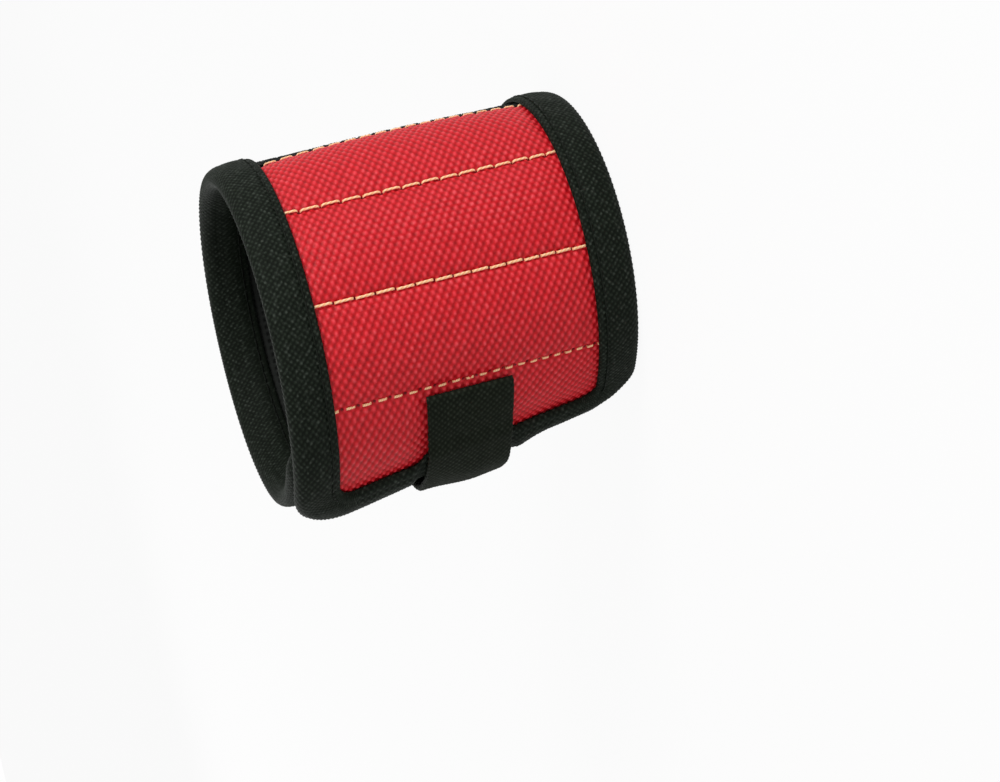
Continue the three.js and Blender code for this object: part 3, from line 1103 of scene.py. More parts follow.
@dataclass(frozen=True)
class Topstitch:
    """Rows of orange topstitching along the sewn lines, with their ends under the edge bindings."""

    form: BandForm
    rows: tuple[StitchRow, ...] = (
        StitchRow(hole=65.3, length=3.71, shrink=0.011, shows=0.39),
        StitchRow(hole=66.9, length=4.67, shrink=0.016, shows=0.445),
        StitchRow(hole=65.8, length=4.63, shrink=0.021, shows=0.445),
        StitchRow(hole=68.2, length=3.65, shrink=0.02, shows=0.29, sunk=0.36),
    )
    wide: float = 0.3
    high: float = 0.23
    dip: float = 0.42
    slant: float = 0.03
    stations: int = 33
    sides: int = 12
    twists: float = 3.5
    ply_depth: float = 0.05
    waver: float = 0.08
    waver_turns: tuple[float, float] = (3.7, 0.9)

    def off_hole(self, line: Array, z: Array) -> tuple[Array, Array]:
        """How far a point of a sewn line is from the nearest needle hole.

        Args:
            line: The lines' numbers.
            z: Heights.

        Returns:
            The distance as a share of a stitch, and in millimetres.
        """
        number, counts = line.astype(int), [row.count(z) for row in self.rows]
        count = np.choose(number, counts)
        length = np.choose(number, [row.pitch(so_many) for row, so_many in zip(self.rows, counts)])
        share = count - np.round(count)
        return share, share * length

    def row(self, number: int) -> Skin:
        """One row of stitches, each a thread that comes up from one hole and goes down the next.

        The thread lies as deep as its row, and deeper by the dip times the eighth power of the
        distance from the stitch's middle. Its section is an ellipse whose radius swings twice
        round the thread, and that swing turns along it, as two plies do. Each stitch slants a
        little across the line and lies off it by a sine of its number.

        Args:
            number: The sewn line's number, from nought.

        Returns:
            The row's mesh.
        """
        row, line = self.rows[number], number * self.form.pitch
        share = np.linspace(0.0, 1.0, self.stations)[None, :, None]
        turn = np.linspace(0.0, 2.0 * np.pi, self.sides, endpoint=False)[None, None, :]
        edges = row.count(np.array([self.form.width - self.form.reach, self.form.reach]))
        stitch = np.arange(math.floor(edges[0]), math.ceil(edges[1]))[:, None, None]
        from_middle = 2.0 * share - 1.0
        ply = np.cos(2.0 * (turn - np.pi * self.twists * share))
        swell = 1.0 - self.ply_depth + self.ply_depth * ply
        uneven = self.waver * np.sin(self.waver_turns[0] * stitch + self.waver_turns[1] * line)
        s = line - self.slant * row.length * from_middle / 2.0 + uneven
        s = s + self.wide * swell * np.cos(turn)
        lift = self.high * swell * np.sin(turn) - row.sunk - self.dip * from_middle**8
        z = row.height(stitch + 0.5 + row.shows * from_middle) + 0.0 * turn
        s, z, lift = np.broadcast_arrays(s, z, lift)
        cloth = np.stack([z, np.broadcast_to(turn * self.wide, z.shape)], axis=-1)
        lift = lift + self.form.belly(s, z)
        # The yarn value is low in the furrow between the plies, where the finish paints shade.
        return tubes(self.form.strip(s, z, lift), cloth, **{YARN: 0.5 + 0.5 * ply})

    def build(self, finishes: Finishes) -> None:
        """Build the four rows, one at each sewn line.

        Args:
            finishes: Every finish on the band.
        """
        for number, fold in enumerate(ROW_FOLDS):
            piece = self.row(number).to_object(f"topstitch_{number + 1}", finishes.thread)
            self.form.bend(piece, fold)
            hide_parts(f"stitch_row_{number + 1}")


@dataclass(frozen=True)
class RedCover:
    """The red woven face of the magnet rows, with its relief and the pull of the topstitching.

    Eighteen yarns lie between two sewn lines, and ninety-one across the band.
    """

    form: BandForm
    stitch: Topstitch
    weave: Weave = Weave(along=22.6 / 18.0, across=80.0 / 91.0, depth=0.5, dots=0.85)
    samples: int = 4
    thickness: float = 1.0
    groove: float = 0.35
    groove_width: float = 1.0
    hole: float = 0.4
    hole_radius: float = 0.36
    pucker: float = 0.12
    pucker_fade: float = 2.2
    uneven: float = 0.14
    uneven_wave: float = 23.0
    drift: float = 0.15
    drift_waves: tuple[float, float] = (31.0, 27.0)
    steps_past_line: float = 2.0
    under_binding: float = 2.0
    edge_yarns: float = 8.5
    hidden_lengths: int = 7
    hidden_heights: int = 5

    def lengths(self, fold: Fold) -> Array:
        """Lengths of the grid: a few to each yarn, and fewer where the end binding hides them.

        Args:
            fold: Where this length of the cover bends.

        Returns:
            Lengths, from first to last.
        """
        step = self.weave.along / self.samples
        start, end = self.form.span(fold)
        if fold is Fold.FIRST_LINE:
            start = -self.steps_past_line * step
        if fold is not Fold.FOURTH_LINE:
            return counted(start, end, step)
        seen = np.arange(start, self.form.front_end - self.form.reach + self.under_binding, step)
        hidden = np.linspace(seen[-1], self.form.front_end - self.form.core_inset, self.hidden_lengths)[1:]
        return np.concatenate([seen, hidden])

    def heights(self) -> Array:
        """Heights of the grid: a few to each yarn, and fewer where the edge bindings hide them.

        Returns:
            Heights, from the hand side to the arm side.
        """
        step, start = self.weave.across / self.samples, self.edge_yarns * self.weave.across
        seen = counted(start, self.form.width - start, step)
        hidden = np.linspace(self.form.core_inset, start, self.hidden_heights)[:-1]
        return np.concatenate([hidden, seen, self.form.width - hidden[::-1]])

    def face(self, s: Array, z: Array, yarn: Array) -> tuple[Array, Array]:
        """Lifts of the outer face, and the needle holes in it.

        The padding's crown and the swell along the first line, plus slow unevenness, less the
        depth between yarns and a groove along each sewn line, with a pit at each needle hole and a
        small pucker beside each stitch.

        Args:
            s: Lengths from the first sewn line.
            z: Heights.
            yarn: The weave's own height, from 0 to 1.

        Returns:
            Lifts, and how deep in a needle hole each point is, from 0 to 1.
        """
        line = np.clip(np.round(s / self.form.pitch), 0, self.form.rows)
        off_line = s - line * self.form.pitch
        share, off_hole = self.stitch.off_hole(line, z)
        pit = np.exp(-(off_line**2 + off_hole**2) / self.hole_radius**2)
        pull = np.exp(-((off_line / self.groove_width) ** 2))
        wave = -np.cos(2.0 * np.pi * share) * np.exp(-np.abs(off_line) / self.pucker_fade)
        lift = self.form.crown(s, z, self.form.crown_out) + self.form.belly(s, z)
        lift = lift + self.uneven * ripple(s, z, self.uneven_wave)
        lift = lift - self.weave.depth * (1.0 - yarn) - self.groove * pull
        return lift - self.hole * pit + self.pucker * wave, pit

    def build(self, finishes: Finishes) -> None:
        """Build the cover in four lengths, one about each sewn line.

        Args:
            finishes: Every finish on the band.
        """
        nodes = {
            Fold.SECOND_LINE: ("upper_pocket_cover",),
            Fold.THIRD_LINE: ("middle_pocket_cover", "lower_pocket_cover"),
            Fold.FOURTH_LINE: ("end_row_cover",),
        }
        for fold in ROW_FOLDS:
            s, z = np.meshgrid(self.lengths(fold), self.heights(), indexing="ij")
            yarn, over = self.weave.at(s, z)
            drawn = self.form.rim(s)
            inset, room = self.form.core_inset, self.form.width - 2.0 * self.form.core_inset
            z = inset + drawn + (z - inset) * (room - 2.0 * drawn) / room
            along, across = self.drift_waves
            s, z = s + self.drift * ripple(s, z, along), z + self.drift * ripple(z, s, across)
            lift, pit = self.face(s, z, yarn)
            under = self.form.crown(s, z, self.form.crown_out) - self.thickness
            # The hole value tells the finish where to paint shade down the needle holes.
            values = {YARN: yarn, OVER: over, HOLE: pit}
            skin = shell(self.form.strip, s, z, (lift, under), **values)
            piece = skin.to_object(f"cover_{fold.label}", finishes.cover)
            self.form.bend(piece, fold)
            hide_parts(*nodes.get(fold, ()))


@dataclass(frozen=True)
class Lining:
    """The black mesh inside the band, behind the magnet rows and behind the loop panel."""

    form: BandForm
    thickness: float = 0.8
    hole_pitch: float = 1.8
    hole_depth: float = 0.3
    hole_edge: float = 0.25
    samples: int = 4

    def knit(self, s: Array, z: Array) -> Array:
        """The mesh's face, from 0 down its holes to 1, which a product of two cosines staggers."""
        u, v = 2.0 * np.pi * s / self.hole_pitch, 2.0 * np.pi * z / self.hole_pitch
        return 1.0 - smoothstep(np.cos(u / 2.0 + v / 2.0) * np.cos(u / 2.0 - v / 2.0), self.hole_edge, 1.0)

    def build(self, finishes: Finishes) -> None:
        """Build the lining in six lengths, one about each fold of the strip.

        Args:
            finishes: Every finish on the band.
        """
        nodes = {
            Fold.TAIL: ("loop_tail_backing",),
            Fold.BACK: ("loop_middle_backing",),
            Fold.FIRST_LINE: ("loop_upper_backing",),
            Fold.SECOND_LINE: ("upper_pocket_lining",),
            Fold.THIRD_LINE: ("middle_pocket_lining", "lower_pocket_lining"),
            Fold.FOURTH_LINE: ("end_row_lining",),
        }
        step, inset = self.hole_pitch / self.samples, self.form.core_inset
        for fold in STRIP_FOLDS:
            start, end = self.form.span(fold)
            start = start + inset if fold is Fold.TAIL else start
            end = end - inset if fold is Fold.FOURTH_LINE else end
            s, z = self.form.grid(start, end, step)
            crown = np.where(s < 0.0, 0.0, self.form.crown(np.maximum(s, 0.0), z, self.form.crown_in))
            knit = self.knit(s, z)
            inner = -self.form.seam - crown + self.hole_depth * (1.0 - knit)
            outer = -self.form.seam - crown + self.thickness
            skin = shell(self.form.strip, s, z, (outer, inner), **{YARN: knit})
            piece = skin.to_object(f"lining_{fold.label}", finishes.lining)
            self.form.bend(piece, fold)
            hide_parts(*nodes[fold])


@dataclass(frozen=True)
class LoopPile:
    """The loop panel round the back: a brushed face with small loops of yarn standing on it."""

    form: BandForm
    thickness: float = 1.6
    step: float = 1.0
    line_gap: float = 0.55
    uneven: float = 0.1
    uneven_wave: float = 5.0
    press_start: float = 4.0
    press_ease: float = 2.0
    press_tip: float = 0.5
    press_side: float = 1.0
    pressed: float = 0.72
    seed: int = 700
    loops_per_mm2: float = 1.65
    loop_height: float = 0.46
    loop_reach: float = 0.5
    loop_sizes: tuple[float, float] = (0.7, 1.15)
    loop_lean: float = 0.35
    low_size: float = 0.4
    low_span: tuple[float, float] = (8.0, 18.0)
    root_margin: float = 0.4
    root_line_gap: float = 1.2
    root_depth: float = 0.12
    loop_line_gap: float = 0.6
    loop_edge_gap: float = 9.0
    yarn_radius: float = 0.09
    sides: int = 3
    stations: int = 5

    def face(self, fold: Fold) -> tuple[Skin, tuple[float, float]]:
        """The panel's face, a slab with a softly uneven outside.

        Args:
            fold: Where this length of the panel bends.

        Returns:
            The mesh, and its flat size in metres.
        """
        start, end = self.form.span(fold)
        start = start + self.form.core_inset if fold is Fold.TAIL else start
        s, z = self.form.grid(start, min(end, -self.line_gap), self.step)
        lift = self.form.belly(s, z) - self.uneven + self.uneven * ripple(s, z, self.uneven_wave)
        skin = shell(self.form.strip, s, z, (lift, -self.thickness + 0.0 * z))
        return skin, (float(np.ptp(z)) * MM, float(np.ptp(s)) * MM)

    def under_strap(self, s: Array, z: Array) -> Array:
        """How far the strap presses on the pile: 1 under it, 0 a little way outside it.

        Args:
            s: Lengths on the strip.
            z: Heights.

        Returns:
            Shares from 0 to 1.
        """
        ends = np.array([self.form.strap_end, self.form.strap_hinge + self.press_start])
        near, far = self.form.length_under(ends)
        past_tip = smoothstep(-s, near - self.press_ease, near - self.press_tip)
        inside = past_tip * (1.0 - smoothstep(-s, far, far + self.press_ease))
        off, half = np.abs(z - self.form.strap_middle), self.form.strap_width / 2.0
        return inside * (1.0 - smoothstep(off, half, half + self.press_side))

    def loops(self, fold: Fold) -> Skin:
        """Small loops of yarn scattered over the face, low by the first line and under the strap.

        Each is a half ellipse that stands on the cloth, turned and leant by its own draw, with a
        three-sided tube carried along it.

        Args:
            fold: The length of the panel that they stand on.

        Returns:
            The loops' mesh.
        """
        draw = np.random.default_rng(self.seed + STRIP_FOLDS.index(fold))
        start, end = self.form.span(fold)
        start = start + (self.form.reach if fold is Fold.TAIL else self.root_margin)
        end = min(end - self.root_margin, -self.root_line_gap)
        low, high = self.form.reach + self.root_margin, self.form.width - self.form.reach - self.root_margin
        count = int((end - start) * (high - low) * self.loops_per_mm2)
        s = draw.uniform(start, end, count)[:, None, None]
        z = draw.uniform(low, high, count)[:, None, None]
        heading = draw.uniform(0.0, np.pi, count)[:, None, None]
        lean = draw.normal(0.0, self.loop_lean, count)[:, None, None]
        size = draw.uniform(*self.loop_sizes, count)[:, None, None]
        size = size * (1.0 - self.pressed * self.under_strap(s, z))
        size = size * (self.low_size + (1.0 - self.low_size) * smoothstep(-s, *self.low_span))
        angle = np.linspace(0.0, np.pi, self.stations)[None, :, None]
        turn = np.linspace(0.0, 2.0 * np.pi, self.sides, endpoint=False)[None, None, :]
        radius = self.yarn_radius * np.cos(turn)
        along = (self.loop_reach * size + radius) * np.cos(angle)
        up = (self.loop_height * size + radius) * np.sin(angle) - self.root_depth
        aside = self.yarn_radius * np.sin(turn) + lean * np.maximum(up, 0.0)
        s = s + along * np.cos(heading) - aside * np.sin(heading)
        z = z + along * np.sin(heading) + aside * np.cos(heading)
        s = np.minimum(s, -self.loop_line_gap)
        z = np.clip(z, self.loop_edge_gap, self.form.width - self.loop_edge_gap)
        s, z, up = np.broadcast_arrays(s, z, up)
        return tubes(self.form.strip(s, z, up + self.form.belly(s, z)), np.stack([s, z], axis=-1))

    def build(self, finishes: Finishes) -> None:
        """Build the panel's face and its loops in three lengths, one about each fold.

        Args:
            finishes: Every finish on the band.
        """
        nodes = {
            Fold.TAIL: "loop_tail_pile",
            Fold.BACK: "loop_middle_pile",
            Fold.FIRST_LINE: "loop_upper_pile",
        }
        for fold in LOOP_FOLDS:
            skin, flat = self.face(fold)
            face = skin.to_object(f"loop_face_{fold.label}", finishes.pile_ground)
            loops = self.loops(fold).to_object(f"loop_pile_{fold.label}", finishes.pile)
            for piece in (face, loops):
                self.form.bend(piece, fold)
            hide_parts(nodes[fold])


@dataclass(frozen=True)
class EdgePath:
    """A run along the edge of the strip, with the way inward at each of its points."""

    length: Array
    height: Array
    in_length: Array
    in_height: Array
    run: Array

    def at(self, run: Array) -> "EdgePath":
        """The same path read at other distances along it.

        Args:
            run: The distances.

        Returns:
            The path at those distances.
        """
        order = np.argsort(self.run)
        read = [np.interp(run, self.run[order], v[order])
                for v in (self.length, self.height, self.in_length, self.in_height)]
        return EdgePath(*read, run)

    def place(self, form: BandForm, inset: Array, lift: Array) -> Array:
        """Points in from the edge, with one row for each point of the path.

        Args:
            form: The sheets that the path lies on.
            inset: Distances in from the edge.
            lift: Lifts off the cloth.

        Returns:
            Points, with their three coordinates last.
        """
        t = self.length[:, None] + inset * self.in_length[:, None]
        z = self.height[:, None] + inset * self.in_height[:, None]
        return form.strip(t, z, lift)


@dataclass(frozen=True)
class BindingTape:
    """The black woven tape folded over the band's edges, and the stitching that holds it."""

    form: BandForm
    weave: Weave = Weave(along=0.695, across=0.67, depth=0.26, dots=0.7)
    gap: float = 0.25
    edge_lift: float = 1.15
    pillow: float = 0.38
    pillow_power: float = 0.8
    rim_depth: float = 3.4
    rim_past: float = 1.5
    edge_round: float = 0.45
    edge_turn: float = 0.9
    wall_gap: float = 0.12
    channel: tuple[float, float] = (1.9, 1.3)
    channel_bevel: float = 0.7
    seam_inset: float = 8.2
    seam_groove: float = 0.17
    seam_width: float = 0.5
    relief_start: float = 0.5
    lumps: float = 0.16
    lump_length: float = 19.0
    leg_start: float = 1.0
    outer_lift: float = 0.4
    fine: float = 0.2235
    coarse: float = 0.75
    row_step: float = 0.2317
    back_step: float = 0.3475
    samples: int = 300
    edge_samples: int = 60
    turn_samples: int = 200
    straight_samples: int = 400
    stitch_pitch: float = 3.1
    stitch_half: float = 0.49
    stitch_rise: float = 0.13
    stitch_dip: float = 0.45
    stitch_stations: int = 7
    thread_radius: float = 0.19
    thread_flat: float = 0.85
    thread_sides: int = 6
    end_turn: tuple[float, float] = (0.3, 1.0)
    puff: float = 1.1
    puff_span: tuple[float, float] = (0.3, 3.0)
    flare: float = 3.2
    flare_fade: float = 1.1
    flare_gone: float = 9.0

    @property
    def middle(self) -> float:
        """The lift halfway through the bound edge."""
        return -self.form.seam / 2.0

    def leg(self, inset: Array) -> Array:
        """The lift of the tape's outer leg.

        A lift at its edge plus a soft pillow between the edge and the fold, less the groove that
        the stitching pulls in, and rounded over at the very edge.

        Args:
            inset: Distances in from the rim.

        Returns:
            Lifts.
        """
        share = np.clip((self.form.reach - inset) / (self.form.reach - self.rim_depth), 0.0, 1.0)
        lift = self.edge_lift + self.pillow * np.sin(np.pi * share) ** self.pillow_power
        lift = lift - self.seam_groove * np.exp(-(((inset - self.seam_inset) / self.seam_width) ** 2))
        past = np.clip(1.0 - (self.form.reach - inset) / self.edge_round, 0.0, 1.0)
        return lift - (self.edge_lift - self.gap) * self.edge_turn * (1.0 - np.sqrt(1.0 - past**2))

    def section(self) -> dict[str, Array]:
        """The tape's section, from the outer leg's edge round the rim to the inner leg and back inside.

        The outer leg's curve, a half ellipse round the rim, and the leg's mirror image; then the
        straight walls of the channel that holds the cloth. Points lie close on the outside, where
        the weave shows, and further apart elsewhere.

        Returns:
            Insets, lifts, the outward direction in both, distances round the outside, and how
            much of the weave's relief each point takes.
        """
        edge = self.form.reach - self.edge_round
        x = np.concatenate([np.linspace(self.form.reach, edge, self.edge_samples)[:-1],
                            np.linspace(edge, self.rim_depth, self.samples)])
        angle = np.linspace(0.5 * np.pi, 1.5 * np.pi, self.samples)[1:-1]
        top = self.leg(x)
        rise = self.edge_lift - self.middle
        inset = np.concatenate([x, self.rim_depth + self.rim_depth * np.cos(angle), x[::-1]])
        lift = np.concatenate([top, self.middle + rise * np.sin(angle), (2.0 * self.middle - top)[::-1]])
        run = distance_along(inset, lift)
        rim_end = run[len(x) + len(angle)] + self.rim_past
        at = np.concatenate([counted(0.0, rim_end, self.fine), counted(rim_end, run[-1], self.coarse)[1:]])
        in_x, in_lift = (np.interp(at, run, np.gradient(value, run)) for value in (inset, lift))
        size = np.hypot(in_x, in_lift)
        inner, outer = self.gap, 2.0 * self.middle - self.gap
        wall, (near, deep), bevel = self.form.reach - self.wall_gap, self.channel, self.channel_bevel
        channel = np.array([[wall, outer], [near, outer], [deep, outer + bevel],
                            [deep, inner - bevel], [near, inner], [wall, inner]])
        blank = np.zeros(len(channel))
        relief = smoothstep(at, 0.0, self.relief_start)
        return {
            "inset": np.concatenate([np.interp(at, run, inset), channel[:, 0]]),
            "lift": np.concatenate([np.interp(at, run, lift), channel[:, 1]]),
            "out_inset": np.concatenate([in_lift / size, blank]),
            "out_lift": np.concatenate([-in_x / size, blank]),
            "run": np.concatenate([at, np.linspace(run[-1], run[-1] + 1.0, len(channel))]),
            "relief": np.concatenate([relief, blank]),
        }

    def side(self, edge: Edge, start: float, end: float, step: float) -> EdgePath:
        """A straight path along one edge of the band.

        Args:
            edge: The edge.
            start: The length where it starts.
            end: The length where it ends.
            step: The distance between points.

        Returns:
            The path.
        """
        length = counted(start, end, step)
        same = np.ones_like(length)
        place, inward = edge.value
        return EdgePath(length, place * self.form.width * same, 0.0 * same, inward * same, length)

    def round_end(self, start: float, end: float, step: float) -> EdgePath:
        """A path along the hand edge, round both corners of an end, and back along the arm edge.

        Two quarter circles join straight runs. The distance along it is stretched a little so that
        the weave meets the next tape in step at both ends.

        Args:
            start: The length where the path starts and ends.
            end: The length of the strip's end.
            step: The distance between points.

        Returns:
            The path.
        """
        way = math.copysign(1.0, end - start)
        total, radius, width = abs(end - start), self.form.corner, self.form.width
        centre, turn = total - radius, np.linspace(0.0, 0.5 * np.pi, self.turn_samples)
        sine, cosine = np.sin(turn), np.cos(turn)
        out = np.linspace(0.0, centre, self.straight_samples)[:-1]
        up = np.linspace(radius, width - radius, self.samples)[1:-1]
        still, same = np.zeros_like(out), np.ones_like(up)
        u = np.concatenate([out, centre + radius * sine, total * same, centre + radius * cosine, out[::-1]])
        z = np.concatenate([still, radius - radius * cosine, up, width - radius + radius * sine,
                            still + width])
        in_u = np.concatenate([still, -sine, -same, -cosine, still])
        in_z = np.concatenate([still + 1.0, cosine, 0.0 * up, -sine, still - 1.0])
        run = distance_along(u, z)
        repeat = 2.0 * self.weave.along
        whole = round((2.0 * start + way * run[-1]) / repeat) * repeat - 2.0 * start
        path = EdgePath(start + way * u, z, way * in_u, in_z, start + run * whole / run[-1])
        return path.at(counted(start, start + whole, step))

    def beside_strap(self, path: EdgePath) -> tuple[Array, Array]:
        """How the tape across the end row swells, and reaches further in, beside the strap.

        It swells along the end but not where the strap holds it down, and its reach fades away
        from the strap's edge on the arm side.

        Args:
            path: The edge that the tape is folded over.

        Returns:
            Extra lift and extra reach, in millimetres, at each point of the path.
        """
        at_end = smoothstep(-path.in_length, *self.end_turn)
        half = self.form.strap_width / 2.0
        off = path.height - self.form.strap_middle
        free = smoothstep(np.abs(off), half + self.puff_span[0], half + self.puff_span[1])
        past = np.where(off > 0.0, np.maximum(off - half, 0.0) / self.flare_fade, self.flare_gone)
        return self.puff * at_end * free, self.flare * at_end * np.exp(-past)

    def tape(self, path: EdgePath) -> Skin:
        """The tape along a path: its section carried along, with woven relief and soft lumps.

        Beside the strap the outer leg swells as a half circle between its fold and its edge, and reaches
        further in.

        Args:
            path: The edge that the tape is folded over.

        Returns:
            The tape's mesh.
        """
        part = self.section()
        run, across = np.meshgrid(path.run, part["run"], indexing="ij")
        yarn, over = self.weave.at(run, across)
        sunk = self.weave.depth * (yarn - 1.0) * part["relief"]
        on_leg = np.clip((part["inset"] - self.leg_start) / (self.form.reach - self.leg_start), 0.0, 1.0)
        outside = part["relief"] > 0.0
        soft = self.lumps * np.sin(np.pi * on_leg) * outside * ripple(run, across, self.lump_length)
        swell, flare = self.beside_strap(path)
        outer = smoothstep(part["lift"], self.middle, self.outer_lift) * outside
        round_over = np.sqrt(np.clip(on_leg * (1.0 - on_leg) * 4.0, 0.0, 1.0))
        drawn_out = 1.0 + flare[:, None] * outer * on_leg / self.form.reach
        inset = part["inset"] * drawn_out + part["out_inset"] * sunk
        lift = part["lift"] + part["out_lift"] * (sunk + np.where(part["out_lift"] == 0.0, 0.0, soft))
        lift = lift + swell[:, None] * outer * round_over
        rings = path.place(self.form, inset, lift)[None]
        cloth = np.stack([run, across], axis=-1)[None]
        return tubes(rings, cloth, **{YARN: yarn[None], OVER: over[None], HOLE: 0.0 * yarn[None]})

    def stitching(self, path: EdgePath) -> Skin:
        """Black stitches along both legs of the tape, each coming up and going down a needle hole.

        A stitch dips by the sixth power of the distance from its middle.

        Args:
            path: The edge that the tape is folded over.

        Returns:
            The stitches' mesh.
        """
        low, high = sorted((path.run[0], path.run[-1]))
        count = max(1, round((high - low) / self.stitch_pitch))
        share = np.linspace(-1.0, 1.0, self.stitch_stations)
        turn = np.linspace(0.0, 2.0 * np.pi, self.thread_sides, endpoint=False)
        pitch = (high - low) / count
        middle = low + pitch * (np.arange(count) + 0.5)
        here = path.at((middle[:, None] + self.stitch_half * pitch * share[None, :]).ravel())
        inset = self.seam_inset + self.thread_radius * np.cos(turn)
        seat = self.leg(np.array(self.seam_inset)) + self.stitch_rise
        seat = seat - self.stitch_dip * np.tile(share, count)[:, None] ** 6
        lift = seat + self.thread_flat * self.thread_radius * np.sin(turn)
        outer = here.place(self.form, inset[None, :], lift)
        inner = here.place(self.form, inset[None, ::-1], 2.0 * self.middle - lift[:, ::-1])
        rings = np.concatenate([outer, inner]).reshape(2 * count, len(share), len(turn), 3)
        cloth = np.stack(np.broadcast_arrays(here.run[:, None], self.thread_radius * turn), axis=-1)
        cloth = np.concatenate([cloth, cloth]).reshape(2 * count, len(share), len(turn), 2)
        # The yarn value runs from the thread's underside to its outer side, so the finish paints shade
        # under each stitch.
        return tubes(rings, cloth, **{YARN: 0.5 + 0.5 * np.sin(turn)})

    def add(
        self, name: str, path: EdgePath, fold: Fold, nodes: Sequence[str], finishes: Finishes
    ) -> None:
        """Add a length of tape with its stitching.

        Args:
            name: The tape's name.
            path: The edge that it is folded over.
            fold: Where it bends.
            nodes: The CAD nodes that it stands for.
            finishes: Every finish on the band.
        """
        tape = self.tape(path).to_object(name, finishes.binding)
        stitches = self.stitching(path).to_object(f"{name}_stitches", finishes.black_thread)
        for piece in (tape, stitches):
            self.form.bend(piece, fold)
        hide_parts(*nodes)
        part = self.section()

    def build(self, finishes: Finishes) -> None:
        """Build the straight lengths along both edges, then the two round ends.

        Args:
            finishes: Every finish on the band.
        """
        nodes = {
            Fold.BACK: ("loop_middle",),
            Fold.FIRST_LINE: ("loop_upper",),
            Fold.SECOND_LINE: ("upper_pocket",),
            Fold.THIRD_LINE: ("middle_pocket", "lower_pocket"),
        }
        for fold, rows in nodes.items():
            step = self.back_step if fold is Fold.BACK else self.row_step
            for edge in Edge:
                path = self.side(edge, *self.form.span(fold), step)
                stood = [f"{row}_binding_{edge.label}" for row in rows]
                self.add(f"binding_{edge.label}_{fold.label}", path, fold, stood, finishes)
        start, end = self.form.span(Fold.FOURTH_LINE)
        self.add("binding_end_row", self.round_end(start, end, self.row_step), Fold.FOURTH_LINE,
                 ["end_row_binding"], finishes)
        end, start = self.form.span(Fold.TAIL)
        self.add("binding_tail", self.round_end(start, end, self.back_step), Fold.TAIL,
                 ["loop_tail_binding"], finishes)


